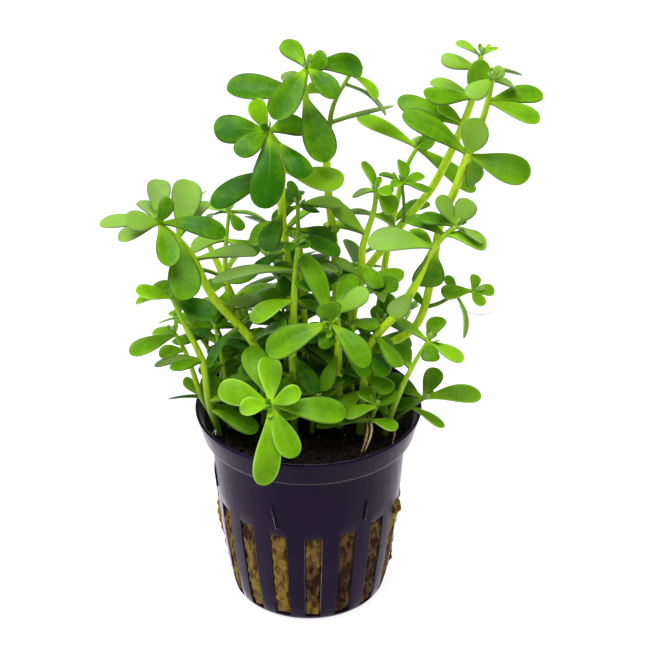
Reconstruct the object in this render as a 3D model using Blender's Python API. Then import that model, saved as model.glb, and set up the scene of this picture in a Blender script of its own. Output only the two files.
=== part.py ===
"""Potted water hyssop: a slotted net pot, its wool, soil and rooted leafy shoots.

Metres, +Z up, origin at the centre of the pot's flat base. The front of the
plant faces -Y. Leaves are written as they are seen from in front and 30.5
degrees above: how far a leaf's tip lies to the right, upward and away from
its node, its width, and how far its upper face is turned from the viewer.
"""

import math

import bmesh
import bpy
from mathutils import Vector
from mathutils.bvhtree import BVHTree

MM = 0.001
VIEW_HEIGHT = math.radians(30.5)

# The pot: radius and height of each corner of its wall, in millimetres.
RIM_RADIUS = 27.5
RIM_INNER_RADIUS = 26.4
POT_HEIGHT = 51.0
COLLAR_BOTTOM = 44.4
COLLAR_RADIUS = 25.6
BASE_RADIUS = 17.2
FLOOR_HEIGHT = 1.2
FLOOR_INSET = 0.2
STEP_HEIGHT = 45.2
SLOT_BOTTOM = 1.6
SLOT_TOP = 26.4
SLOT_RISE = 1.7
SLOTS = 16
SLOT_TURN = math.radians(3.2)
OUTER_WALL = [(18.5, SLOT_BOTTOM), (20.3, 11), (22.3, SLOT_TOP)]
WALL_RISE = [0.0, 0.0, SLOT_RISE]
WALL_TOP_RADIUS = 23.7
WALL = 1.0

SEGMENTS = 2 * SLOTS
GAP = 0.3
BEND_GAP = 0.5
WOOL_TOP = 40.7
WOOL = [(16.8, FLOOR_HEIGHT + GAP), (18.9, 11), (20.7, SLOT_TOP), (21.9, WOOL_TOP)]
SOIL_BOTTOM = 41.0
SOIL_TOP = 48.6
SOIL = [(21.9, SOIL_BOTTOM), (22.4, 47.0), (24.4, 47.2), (24.7, 48.1), (12.0, SOIL_TOP)]

# The plant.
SOIL_CLEARANCE = 49.1
STEM_STEP = 9.0
LEAF_STATIONS = [(0.0, 0.12), (0.36, 0.6), (0.78, 1.0)]
LEAF_THICKNESS = 0.7
LEAF_ARCH = 0.07
TEST_MARGIN = 0.35
SLIDES = [0, -2, 2, -4, 4, -6, 6, -8, 8]
SHORTER = [1.0, 0.85, 0.7, 0.55]
SMALLEST_LEAF = 4.0
SHORTEST_BLADE = 5.0
NARROWEST_BLADE = 4.0

MATERIALS = {
    "pot_plastic": ((0.022, 0.014, 0.045, 1), 0.32),
    "wool": ((0.20, 0.13, 0.05, 1), 0.95),
    "soil": ((0.018, 0.013, 0.009, 1), 1.0),
    "stem": ((0.36, 0.56, 0.03, 1), 0.4),
    "leaf": ((0.10, 0.30, 0.03, 1), 0.42),
}

RIGHT = Vector((1, 0, 0))
AWAY = Vector((0, math.cos(VIEW_HEIGHT), -math.sin(VIEW_HEIGHT)))
UP = Vector((0, math.sin(VIEW_HEIGHT), math.cos(VIEW_HEIGHT)))

# Each shoot: name, thickness, the route of its stem from the soil to the tip, and
# its leaves. A leaf is (place, right, up, away, width, turn): place counts route
# points down from the tip, and turn is in degrees.
SHOOTS = [
    ("tall_left", 2.0,
     [(5.9, 0.5, 49.1), (6.6, 2, 70.7), (6.6, 5, 85.5), (5.9, 7, 94.9), (4.7, 8, 105.4),
      (4.3, 8, 114.7), (2.0, 7, 123.0), (-0.8, 6, 131.5), (-0.1, 6, 138.2)],
     [(0, -5.2, 6.9, 5, 5.8, 20), (0, 12.8, 0.0, 5, 6.3, 15), (0, 4.7, 2.2, -3, 5.4, 10),
      (0, 6.7, -7.4, -5, 6.0, 20), (0, 1.9, 3.0, 0, 2.2, 30), (0, -7.6, -12.2, -6, 7.8, 10),
      (1, -17.8, 1.2, -2, 8.0, 22), (1, 5.1, -16.0, -4, 8.5, 15), (1, -4.0, 5.8, 8, 5.2, 20),
      (1, 4.0, 2.0, 6, 4.2, 25)]),
    ("tall_left_side", 1.5,
     [(4.9, 9.6, 118.3), (5.2, 10, 122.0), (5.7, 11, 126.5), (8.7, 12, 131.1),
      (9.9, 12, 133.7)],
     [(0, 6.2, -6.0, 0, 3.8, 50), (0, 2.5, 2.5, 3, 3.0, 30), (1, 9.5, -7.4, 0, 4.0, 80),
      (3, 14.9, 4.4, 0, 5.0, 75)]),
    ("upper_left", 1.9,
     [(-4.2, -2, 49.1), (-3.8, -2, 75.8), (-5.1, 1, 93.1), (-6.2, 1, 105.2),
      (-5.7, 0, 114.9), (-6.5, -1, 122.4), (-9.0, -2, 126.0)],
     [(0, -3.4, 7.2, 1, 5.4, 15), (0, -12.4, 0.4, -3, 8.0, 15), (0, -6.9, -5.9, -5, 6.2, 15),
      (0, 8.8, 2.0, 6, 6.8, 25), (0, -1.5, 0.8, -2, 2.2, 30), (0, -1.0, -18.0, -6, 8.8, 10),
      (1, 6.7, -7.9, -5, 6.5, 20), (2, -16.6, -8.2, -2, 6.8, 18), (2, 14.2, -2.6, -2, 7.0, 18)]),
    ("centre_high", 1.6,
     [(-0.6, 3, 49.1), (-0.8, 1.6, 71.3), (-1.4, 3, 86.6), (-2.3, 4, 96.9), (-2.3, 4, 103.3)],
     [(0, -1.8, 6.0, 1, 4.0, 40), (0, 10.5, 0.3, 3, 5.2, 45), (0, 4.7, -1.8, -3, 3.5, 60),
      (0, -7.0, -5.2, -4, 5.0, 30), (1, -11.6, -2.0, -1, 7.0, 20), (1, 9.0, -3.0, 4, 6.0, 40)]),
    ("left_inner", 1.5,
     [(-11.5, 2, 49.1), (-14.0, 2.5, 62.4), (-18.3, 6, 73.9), (-19.9, 9, 83.2),
      (-19.5, 10, 90.8), (-18.7, 10, 98.4)],
     [(0, 2.8, -4.6, -3, 4.0, 40), (0, -3.3, -0.5, 4, 4.0, 70), (0, 9.1, -2.3, 1, 4.5, 75),
      (0, -5.4, 1.6, 4, 3.5, 30), (1, 8.0, -3.0, -2, 5.5, 50), (1, -8.5, -2.5, 1, 5.5, 50),
      (3, 9.0, 2.0, -3, 5.5, 55), (3, -9.0, 1.0, 3, 5.5, 55)]),
    ("left_arching", 2.0,
     [(-10.4, -4.5, 49.1), (-11.2, -6.5, 68.0), (-16.0, -6, 76.4), (-20.6, -6, 81.8),
      (-24.3, -5, 87.5), (-26.3, -5, 93.9), (-30.1, -5, 99.5), (-34.4, -6, 104.1)],
     [(0, -0.3, 10.4, 5, 6.4, 15), (0, 2.9, 5.6, -6, 4.4, 10), (0, -14.0, 0.2, 3, 6.5, 55),
      (0, -7.6, 0.4, -6, 5.8, 20), (0, -9.2, -4.1, -1, 4.8, 35), (0, 2.6, -10.2, -6, 6.6, 20),
      (0, 15.6, -2.6, -2, 5.9, 30), (0, -4.7, 5.6, 7, 4.5, 30), (1, 2.1, 13.9, 4, 8.2, 12),
      (1, 1.7, -14.4, -6, 8.8, 12), (1, 6.6, 9.0, 6, 5.0, 40), (2, 14.4, 1.4, 2, 6.0, 55),
      (4, 10.0, 2.0, 3, 5.5, 50)]),
    ("left_low", 1.7,
     [(-21.2, -8.5, 49.1), (-23.3, -10, 55.7), (-24.1, -11, 62.8), (-24.7, -11, 69.9),
      (-28.3, -11, 78.4), (-31.7, -10, 86.5)],
     [(0, -8.1, 1.2, -5, 5.5, 40), (0, -8.4, -1.6, -1, 5.0, 60), (0, -3.7, 3.7, 4, 4.5, 30),
      (0, 9.6, -4.7, -3, 6.6, 30), (1, 5.0, 2.0, 5, 5.0, 40), (2, -11.6, -1.0, 1, 5.0, 60),
      (2, -7.5, -2.0, -4, 5.0, 50), (4, 0.5, 8.2, 3, 5.0, 15), (4, 11.4, -5.0, -4, 6.0, 35)]),
    ("left_low_side", 1.5,
     [(-22.6, -3, 49.1), (-25.6, -6, 57.0), (-27.0, -7.5, 63.6), (-29.0, -7.5, 70.6),
      (-31.2, -7.5, 75.1)],
     [(0, -10.6, -4.7, -3, 6.2, 42), (0, -5.2, 1.2, 5, 5.0, 45), (1, -6.2, -1.2, -1, 4.5, 40),
      (3, -4.0, 4.4, -1, 3.4, 30), (3, 1.0, 4.8, -2, 3.0, 30), (3, -8.0, -0.7, 0, 4.5, 82)]),
    ("front", 2.0,
     [(-7.0, -10, 49.1), (-7.2, -13.5, 56.5), (-7.5, -18, 62.0), (-7.9, -22, 65.3),
      (-8.6, -26, 66.8)],
     [(0, -0.5, 11.3, 6, 6.4, 10), (0, -12.0, 4.2, -2, 7.0, 15), (0, -6.9, -1.5, -5, 5.2, 35),
      (0, 7.2, 3.3, -5, 5.2, 25), (0, 17.5, -2.0, 0, 7.2, 25), (0, 5.6, -12.0, -2, 6.8, 15),
      (0, -1.9, -18.6, 0, 7.0, 10), (1, -5.9, 12.9, 3, 7.0, 15)]),
    ("centre", 2.0,
     [(7.5, -6.5, 49.1), (7.1, -8, 68.4), (7.1, -11, 78.4), (6.6, -14, 84.3), (5.2, -17.8, 84.0)],
     [(0, -0.4, 5.0, -5, 6.8, 5), (0, -6.0, 16.0, 3, 6.5, 25), (0, -14.6, -6.9, 0, 8.4, 22),
      (0, 8.6, -10.0, -4, 6.6, 25), (1, 3.8, 9.6, 8, 6.5, 20), (1, 7.5, 5.6, -3, 5.6, 20),
      (2, -9.0, -2.0, 5, 6.0, 50)]),
    ("centre_back", 1.8,
     [(-3.4, -9.5, 49.1), (-3.6, -9, 66.2), (-3.5, -8, 76.3), (-3.2, -8, 84.5),
      (-2.9, -8, 92.5), (-2.2, -8, 99.5)],
     [(0, -2.8, -1.4, -3, 3.5, 40), (0, 2.6, -0.7, -3, 3.5, 40), (0, -6.7, -1.9, 2, 4.0, 60),
      (0, 2.0, 2.5, 3, 3.0, 40), (1, -19.5, -2.5, 0, 6.0, 55), (1, 10.0, 0.5, 4, 5.5, 55),
      (2, -9.8, -4.9, -5, 6.0, 45), (2, 6.5, -2.0, 5, 5.0, 50)]),
    ("right_inner", 1.9,
     [(10.2, -1, 49.1), (10.4, 0.5, 74.1), (13.0, 3, 83.6), (12.5, 4, 88.2), (13.5, 5, 95.2),
      (15.6, 6, 99.8), (16.0, 6, 106.2)],
     [(0, -2.6, 7.2, 3, 4.5, 45), (0, 4.0, -0.5, -3, 4.0, 40), (0, -5.6, -1.2, 1, 4.5, 60),
      (0, 4.7, -4.7, 3, 6.0, 30), (1, 5.0, -2.0, 4, 5.0, 50), (1, -7.0, 1.0, 3, 4.5, 60),
      (2, -7.8, 6.9, 0, 5.2, 35), (2, -9.6, 3.0, 4, 4.6, 50), (4, 9.8, 1.4, -3, 6.0, 35),
      (4, 8.0, -2.4, -5, 6.0, 30), (4, 5.6, -3.7, 4, 6.0, 30), (4, -6.7, 4.9, 1, 4.5, 60)]),
    ("right_thin", 1.2,
     [(22.8, 6.9, 96.4), (22.9, 7, 98.5), (22.6, 7.5, 102.0), (22.2, 8, 107.1)],
     [(0, 0.0, 5.6, 4, 4.5, 40), (0, 5.1, 2.1, 2, 4.0, 40), (0, -5.6, 1.9, 1, 3.5, 65),
      (0, -2.6, -1.0, -3, 3.0, 40), (0, 6.5, -2.0, -1, 4.0, 70)]),
    ("right_back", 1.7,
     [(15.0, 11, 49.1), (17.5, 13, 75.0), (20.0, 13.5, 93.8), (21.8, 14, 102.2),
      (23.2, 15, 108.1), (25.8, 16, 112.4)],
     [(0, -14.3, 7.4, 0, 5.2, 30), (0, 4.2, 1.6, -5, 5.0, 30), (0, 14.0, -10.0, 2, 7.0, 40),
      (0, 1.0, 3.0, 7, 4.5, 30)]),
    ("tall_right_back", 1.9,
     [(9.0, 6, 49.1), (10.8, 6.5, 77.3), (16.6, 8.5, 87.6), (24.4, 9, 98.7), (29.0, 8, 105.4),
      (33.6, 6, 117.0), (36.0, 5, 124.0), (38.1, 4, 131.5), (39.4, 4, 138.7),
      (39.7, 4, 142.2)],
     [(0, -5.8, 3.0, 0, 3.0, 50), (0, 4.0, 2.0, 0, 2.5, 60), (1, -8.8, 2.8, -1, 4.8, 30),
      (1, 10.0, -1.2, 2, 3.5, 75), (2, 2.4, 7.9, -5, 6.4, 12), (2, -9.9, 3.7, 1, 5.2, 45),
      (2, -11.4, 0.5, -3, 6.5, 40), (3, -15.1, 6.0, 0, 6.2, 30), (3, -6.0, 4.4, -3, 3.6, 25)]),
    ("tall_right", 2.0,
     [(14.6, -3, 49.1), (16.9, -3, 67.6), (24.0, -3, 72.3), (26.3, -3, 76.1), (27.7, -3, 79.7),
      (28.7, -3, 86.5), (29.6, -3, 92.1), (30.2, -3, 98.3), (31.0, -3, 103.3),
      (33.9, -4, 111.0), (36.9, -4, 120.9), (40.4, -4, 130.7), (41.2, -4, 134.5),
      (42.0, -4, 140.0)],
     [(0, 2.5, 2.5, -2, 3.5, 30), (0, -5.7, -4.2, -6, 5.4, 12), (0, 5.4, -1.2, 5, 4.0, 50),
      (1, 12.8, 2.3, 1, 6.4, 35), (1, 11.4, -4.9, -4, 6.5, 40), (3, -15.1, 9.3, -3, 7.5, 30),
      (3, 2.6, 8.0, -6, 7.5, 12), (3, 14.2, -4.9, -2, 8.3, 20), (3, 1.9, -6.5, 5, 6.5, 30)]),
    ("tall_right_side", 2.0,
     [(12.4, -9, 49.1), (14.4, -7.5, 71.3), (19.8, -7.5, 79.0), (24.4, -7.5, 86.6),
      (29.2, -7.5, 98.4), (31.8, -8, 102.1), (34.3, -9, 105.0)],
     [(0, 5.8, -4.1, -2, 4.5, 60), (0, -4.4, 6.7, 4, 5.5, 30), (0, 3.3, 6.0, 2, 6.0, 10),
      (0, -8.4, 2.4, 2, 5.0, 35), (1, 9.3, -3.5, -3, 6.4, 40), (1, -9.0, 3.6, 3, 5.0, 40),
      (2, -15.3, 0.8, -3, 7.8, 30), (2, -2.0, -9.0, 6, 8.4, 12), (3, -4.7, -5.8, -4, 6.0, 30),
      (2, -4.8, 4.6, 5, 4.8, 40)]),
    ("right_low", 1.3,
     [(29.9, -3.4, 79.6), (32.3, -3.5, 82.4), (34.7, -3.5, 84.1), (38.7, -3, 84.2)],
     [(0, 0.9, 4.0, 1, 3.5, 30), (0, 5.3, 0.2, 0, 4.0, 35), (0, 2.3, -3.5, -2, 3.5, 30),
      (0, -7.4, -0.5, -3, 4.9, 35), (1, -1.8, 4.2, 2, 3.2, 30), (1, 1.9, -10.8, -1, 3.4, 65)]),
    ("right_front", 1.5,
     [(18.4, -9, 49.1), (21.8, -12, 62.3), (24.3, -12, 68.1), (26.6, -12, 73.3),
      (28.2, -12, 75.8)],
     [(0, 3.0, 5.8, 3, 5.5, 30), (0, 0.5, -4.7, -4, 5.0, 20), (0, 8.1, -4.7, -2, 5.0, 40),
      (0, -7.4, 5.3, 0, 4.5, 50), (2, -3.3, 6.0, 4, 6.0, 30)]),
    ("right_dark", 1.2,
     [(18.8, 2.5, 49.1), (17.6, 2.5, 60.0), (16.9, 2.5, 67.9), (17.6, 2.5, 72.9)],
     [(0, 1.6, 6.7, 2, 5.0, 20), (0, -2.8, 2.6, -2, 4.5, 30), (0, -5.8, -1.9, -2, 5.5, 40),
      (0, 6.0, -2.0, 3, 5.0, 40), (1, 8.0, -1.0, 3, 5.5, 45), (1, -8.0, 0.5, 3, 5.5, 45)]),
    ("right_rim", 1.5,
     [(19.8, -6, 49.1), (21.8, -6, 52.0), (24.4, -6, 54.0), (27.4, -6, 56.3)],
     [(0, 3.6, 7.3, 2, 5.2, 15), (0, 13.9, 0.7, -2, 5.5, 30), (0, -7.9, -2.6, -5, 5.0, 45),
      (0, -9.5, 5.1, 3, 6.0, 30), (1, 8.0, -4.7, -4, 3.5, 50)]),
    ("low_right", 1.4,
     [(13.5, -12, 49.1), (15.0, -13, 54.5), (16.2, -13.5, 58.8)],
     [(0, -8.0, -2.0, -2, 5.0, 45), (0, 5.0, 3.0, 1, 5.0, 45), (0, -4.0, 4.0, 3, 5.0, 30),
      (1, -13.0, -1.5, -3, 5.5, 55), (1, 6.0, -2.0, -4, 4.5, 50)]),
    ("low_centre", 1.4,
     [(0.8, -8.5, 49.1), (1.4, -12, 56.0), (2.0, -14, 62.6)],
     [(0, -6.0, 2.0, 2, 6.0, 35), (0, 6.5, 3.5, 1, 5.0, 50), (0, 5.0, -5.5, -3, 6.0, 25),
      (0, -2.0, -6.0, -3, 5.5, 25), (1, -9.0, -1.0, 1, 5.5, 50), (1, 9.5, 0.0, 2, 5.5, 50)]),
]

# Shoots that the photo hides: name, thickness, route and the lengths of their leaf
# pairs from the tip down. Each pair stands across the one above it.
HIDDEN_SHOOTS = [
    ("back_left", 1.8,
     [(-12.0, 9, 49.1), (-15.0, 13, 63.0), (-20.5, 18, 76.0), (-25.0, 22, 85.0),
      (-28.0, 25, 91.0)], 25, [6, 11, 14, 14]),
    ("back_centre", 1.9,
     [(-3.5, 12, 49.1), (-4.0, 17, 62.0), (-5.0, 22, 74.0), (-6.0, 26, 84.0),
      (-6.5, 28, 90.0)], 70, [6, 12, 14, 14]),
    ("back_right", 1.8,
     [(4.5, 14, 49.1), (7.0, 20, 58.0), (10.0, 26, 65.0), (12.0, 31, 70.0),
      (13.0, 34, 73.5)], 10, [6, 11, 12, 12]),
    ("rim_left", 1.4,
     [(-18.5, 7, 49.1), (-22.0, 9, 57.0), (-26.5, 11, 64.0), (-31.0, 13, 68.0)],
     40, [6, 11, 12]),
    ("rim_back", 1.4,
     [(8.0, 20.5, 49.1), (9.5, 24, 57.0), (11.0, 29, 63.0), (12.0, 34, 67.0)],
     15, [6, 11, 12]),
]
PAIR_RISE = math.radians(28)
HIDDEN_WIDTH = 0.46


def make_material(name):
    """A Principled material with the colour and roughness of MATERIALS."""
    colour, roughness = MATERIALS[name]
    material = bpy.data.materials.new(name)
    material.use_nodes = True
    shader = material.node_tree.nodes["Principled BSDF"]
    shader.inputs["Base Color"].default_value = colour
    shader.inputs["Roughness"].default_value = roughness
    shader.inputs["Metallic"].default_value = 0.0
    material.diffuse_color = colour
    return material


def add_object(name, mesh, material):
    """A new object in the scene with this mesh and material."""
    made = bpy.data.objects.new(name, mesh)
    made.data.materials.append(material)
    bpy.context.scene.collection.objects.link(made)
    return made


def mesh_of(name, shape):
    """The bmesh as a mesh, with its faces turned outward."""
    bmesh.ops.recalc_face_normals(shape, faces=shape.faces)
    mesh = bpy.data.meshes.new(name)
    shape.to_mesh(mesh)
    shape.free()
    return mesh


def ring(shape, radius, height, rise=0.0):
    """One ring of vertices, a slot's two edges at neighbours, rising to the sides."""
    turn = 2 * math.pi / SEGMENTS
    first = SLOT_TURN - math.pi / 2 - turn / 2
    angles = [first + turn * step for step in range(SEGMENTS)]
    return [
        shape.verts.new((radius * math.cos(a) * MM, radius * math.sin(a) * MM,
                         (height + rise * abs(math.cos(a))) * MM))
        for a in angles
    ]


def band(shape, low, high, places):
    """Quads between two rings at the given places."""
    for place in places:
        after = (place + 1) % SEGMENTS
        shape.faces.new((low[place], low[after], high[after], high[place]))


def shade_round(mesh, sharp_above=35):
    """Smooth shading, with edges sharper than this angle in degrees kept sharp."""
    mesh.shade_smooth()
    mesh.set_sharp_from_angle(angle=math.radians(sharp_above))


def make_pot(material):
    """The pot: base disc, slotted wall, step and flared collar, one closed body."""
    shape = bmesh.new()
    everywhere = range(SEGMENTS)
    ribs = range(1, SEGMENTS, 2)
    slots = range(0, SEGMENTS, 2)
    inner_wall = [(radius - WALL, height) for radius, height in OUTER_WALL]
    outer = [ring(shape, BASE_RADIUS, 0)]
    outer += [ring(shape, r, z, rise) for (r, z), rise in zip(OUTER_WALL, WALL_RISE)]
    outer.append(ring(shape, WALL_TOP_RADIUS, COLLAR_BOTTOM))
    outer.append(ring(shape, COLLAR_RADIUS, COLLAR_BOTTOM))
    outer.append(ring(shape, RIM_RADIUS, POT_HEIGHT))
    inner = [ring(shape, inner_wall[0][0] - FLOOR_INSET, FLOOR_HEIGHT)]
    inner += [ring(shape, r, z, rise) for (r, z), rise in zip(inner_wall, WALL_RISE)]
    inner.append(ring(shape, WALL_TOP_RADIUS - WALL, STEP_HEIGHT))
    inner.append(ring(shape, COLLAR_RADIUS - WALL, COLLAR_BOTTOM + WALL))
    inner.append(ring(shape, RIM_INNER_RADIUS, POT_HEIGHT))
    slot_rows = range(1, len(OUTER_WALL))
    for rows in (outer, inner):
        for row in range(len(rows) - 1):
            band(shape, rows[row], rows[row + 1], ribs if row in slot_rows else everywhere)
    band(shape, outer[-1], inner[-1], everywhere)
    shape.faces.new(outer[0])
    shape.faces.new(inner[0])
    first, last = slot_rows[0], slot_rows[-1] + 1
    for place in slots:
        after = place + 1
        for row in (first, last):
            shape.faces.new((outer[row][place], outer[row][after], inner[row][after],
                             inner[row][place]))
        for row in slot_rows:
            for edge in (place, after):
                shape.faces.new((outer[row][edge], outer[row + 1][edge],
                                 inner[row + 1][edge], inner[row][edge]))
    mesh = mesh_of("pot", shape)
    shade_round(mesh)
    return add_object("pot", mesh, material)


def make_plug(name, profile, material):
    """A solid turned about the pot's axis from (radius, height) corners."""
    shape = bmesh.new()
    rings = [ring(shape, radius, height) for radius, height in profile]
    for low, high in zip(rings, rings[1:]):
        band(shape, low, high, range(SEGMENTS))
    shape.faces.new(rings[0])
    shape.faces.new(rings[-1])
    mesh = mesh_of(name, shape)
    shade_round(mesh)
    return add_object(name, mesh, material)


def smooth_route(points, step):
    """Points about a step apart on a smooth curve through the given points.

    Each stretch is a cubic whose end directions are set by the points on either
    side of it (a Catmull-Rom curve)."""
    points = [Vector(p) for p in points]
    ends = [2 * points[0] - points[1]] + points + [2 * points[-1] - points[-2]]
    dense = []
    for before, start, end, after in zip(ends, ends[1:], ends[2:], ends[3:]):
        for part in range(8):
            t = part / 8
            dense.append(0.5 * (2 * start + (end - before) * t
                                + (2 * before - 5 * start + 4 * end - after) * t * t
                                + (3 * start - before - 3 * end + after) * t ** 3))
    dense.append(points[-1])
    lengths = [0.0]
    for one, other in zip(dense, dense[1:]):
        lengths.append(lengths[-1] + (other - one).length)
    pieces = max(1, round(lengths[-1] / step))
    route = []
    for piece in range(pieces + 1):
        wanted = lengths[-1] * piece / pieces
        place = max(i for i, length in enumerate(lengths) if length <= wanted + 1e-9)
        place = min(place, len(dense) - 2)
        share = (wanted - lengths[place]) / (lengths[place + 1] - lengths[place])
        route.append(dense[place].lerp(dense[place + 1], share))
    return route


def make_stem(name, route, thickness, material):
    """A bare stem: a six-sided tube along the route with filled caps."""
    curve = bpy.data.curves.new(name, "CURVE")
    curve.dimensions = "3D"
    curve.bevel_depth = thickness / 2 * MM
    curve.bevel_resolution = 1
    curve.use_fill_caps = True
    spline = curve.splines.new("POLY")
    spline.points.add(len(route) - 1)
    for point, place in zip(spline.points, route):
        point.co = (*(place * MM), 1)
    return add_object(name, curve, material)


def tube(shape, route, thickness, tip_share=0.6):
    """A five-sided tube in the bmesh, thinner at its tip, closed at both ends."""
    sides = 5
    rings = []
    for place, point in enumerate(route):
        before = route[max(place - 1, 0)]
        after = route[min(place + 1, len(route) - 1)]
        along = (after - before).normalized()
        across = along.cross(Vector((0.3, 1, 0.1))).normalized()
        other = along.cross(across)
        share = 1 - (1 - tip_share) * place / (len(route) - 1)
        radius = thickness / 2 * share
        rings.append([
            shape.verts.new((point + radius * (math.cos(a) * across + math.sin(a) * other)) * MM)
            for a in [2 * math.pi * side / sides for side in range(sides)]
        ])
    for low, high in zip(rings, rings[1:]):
        for side in range(sides):
            after = (side + 1) % sides
            shape.faces.new((low[side], low[after], high[after], high[side]))
    shape.faces.new(rings[0])
    shape.faces.new(rings[-1])


def leaf_frame(base, tip, turn):
    """The directions along a leaf, across it and out of its upper face.

    At a turn of 0 the face looks at the viewer; more turn tips it upward, or to
    the right on an upright leaf."""
    along = (tip - base).normalized()
    to_viewer = (-AWAY - along * along.dot(-AWAY)).normalized()
    side = along.cross(to_viewer)
    if (abs(side.z) > 0.2 and side.z < 0) or (abs(side.z) <= 0.2 and side.x < 0):
        side = -side
    face = math.cos(turn) * to_viewer + math.sin(turn) * side
    return along, along.cross(face), face


def leaf_sections(base, tip, width, turn, thickness, first=0.0):
    """Three-cornered sections of a blade, from this share of its length on."""
    along, across, face = leaf_frame(base, tip, turn)
    length = (tip - base).length
    sections = []
    for share, wide in LEAF_STATIONS:
        share = max(share, first)
        arch = LEAF_ARCH * length * math.sin(math.pi * share)
        middle = base + share * (tip - base) + arch * face
        half = wide * width / 2
        deep = thickness / 2 * (1.3 - 0.6 * share)
        sections.append([middle + half * across + deep * face,
                         middle - half * across + deep * face, middle - deep * face])
    return sections


def blade(shape, base, tip, width, turn, thickness=LEAF_THICKNESS, first=0.0):
    """A closed leaf blade in the bmesh: flat above, keeled below, narrow at its base."""
    sections = leaf_sections(base, tip, width, turn, thickness, first)
    rings = [[shape.verts.new(corner * MM) for corner in section] for section in sections]
    end = shape.verts.new(tip * MM)
    for low, high in zip(rings, rings[1:]):
        for side in range(3):
            after = (side + 1) % 3
            shape.faces.new((low[side], low[after], high[after], high[side]))
    for side in range(3):
        shape.faces.new((rings[-1][side], rings[-1][(side + 1) % 3], end))
    shape.faces.new(rings[0])


def tree_of(fill):
    """A search tree over the shape that fill draws in a new bmesh."""
    shape = bmesh.new()
    fill(shape)
    bmesh.ops.triangulate(shape, faces=shape.faces)
    tree = BVHTree.FromBMesh(shape)
    shape.free()
    return tree


def place_leaf(base, tip, width, turn, own, others):
    """The tip of a leaf that is clear of the leaves before it, or None.

    A leaf in the way of another swings toward or away from the viewer, which
    hardly changes the view from in front, and then gets shorter."""
    for share in SHORTER:
        for slide in SLIDES:
            end = base + share * (tip - base) + slide * AWAY
            if (end - base).length < SMALLEST_LEAF or end.z < SOIL_CLEARANCE:
                continue
            wide = width * share + 2 * TEST_MARGIN
            deep = LEAF_THICKNESS + 2 * TEST_MARGIN
            reach = end + TEST_MARGIN * (end - base).normalized()
            whole = tree_of(lambda shape: blade(shape, base, reach, wide, turn, deep))
            if any(whole.overlap(tree) for tree in others):
                continue
            outer = tree_of(lambda shape: blade(shape, base, reach, wide, turn, deep, 0.33))
            if any(outer.overlap(tree) for tree in own):
                continue
            return end, width * share
    return None


def hidden_leaves(route, first_turn, lengths):
    """Leaf pairs for a hidden shoot, from the tip down: (place, offset, width)."""
    leaves = []
    for place, length in enumerate(lengths):
        stem = (route[-1 - place] - route[-2 - place]).normalized()
        side = stem.cross(Vector((0, 0, 1))).normalized()
        front = side.cross(stem)
        angle = math.radians(first_turn + 90 * place)
        out = math.cos(angle) * side + math.sin(angle) * front
        for sign in (1, -1):
            aim = math.cos(PAIR_RISE) * sign * out + math.sin(PAIR_RISE) * stem
            leaves.append((place, length * aim, max(3.0, HIDDEN_WIDTH * length)))
    return leaves


def facing_turn(base, tip, up):
    """The turn at which a leaf's face looks along the given direction."""
    along, across, face = leaf_frame(base, tip, 0.0)
    level = leaf_frame(base, tip, math.pi / 2)[2]
    return math.atan2(up.dot(level), up.dot(face))


def shoot_list():
    """Every shoot as (name, thickness, route, [(place, tip offset, width, turn)])."""
    shoots = []
    for name, thickness, route, leaves in SHOOTS:
        route = [Vector(point) for point in route]
        spread = [
            (place, right * RIGHT + up * UP + away * AWAY, width, math.radians(turn))
            for place, right, up, away, width, turn in leaves
        ]
        shoots.append((name, thickness, route, spread))
    for name, thickness, route, first_turn, lengths in HIDDEN_SHOOTS:
        route = [Vector(point) for point in route]
        spread = []
        for place, offset, width in hidden_leaves(route, first_turn, lengths):
            base = route[-1 - place]
            stem = (route[-1 - place] - route[-2 - place]).normalized()
            spread.append((place, offset, width, facing_turn(base, base + offset, stem)))
        shoots.append((name, thickness, route, spread))
    return shoots


def fuse(shape_object, other):
    """Joins the overlapping pieces of the object and the other one into one body."""
    union = shape_object.modifiers.new("join", "BOOLEAN")
    union.operation = "UNION"
    union.solver = "EXACT"
    union.use_self = True
    union.object = other
    bpy.context.view_layer.update()
    graph = bpy.context.evaluated_depsgraph_get()
    joined = bpy.data.meshes.new_from_object(shape_object.evaluated_get(graph))
    shape_object.modifiers.remove(union)
    shape_object.data = joined
    bpy.data.objects.remove(other, do_unlink=True)


def make_leaves(name, thickness, upper, placed, material):
    """The leafy end of a shoot: its upper stem with every blade, one closed body."""
    blades, stem = bmesh.new(), bmesh.new()
    for base, tip, width, turn in placed:
        blade(blades, base, tip, width, turn)
    tube(stem, upper, thickness * 0.95, 0.75)
    leafy = add_object(name, mesh_of(name, blades), material)
    fuse(leafy, add_object(name + "_stem", mesh_of(name + "_stem", stem), material))
    leafy.data.shade_smooth()
    leafy.data.set_sharp_from_angle(angle=math.radians(50))
    return leafy


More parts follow.
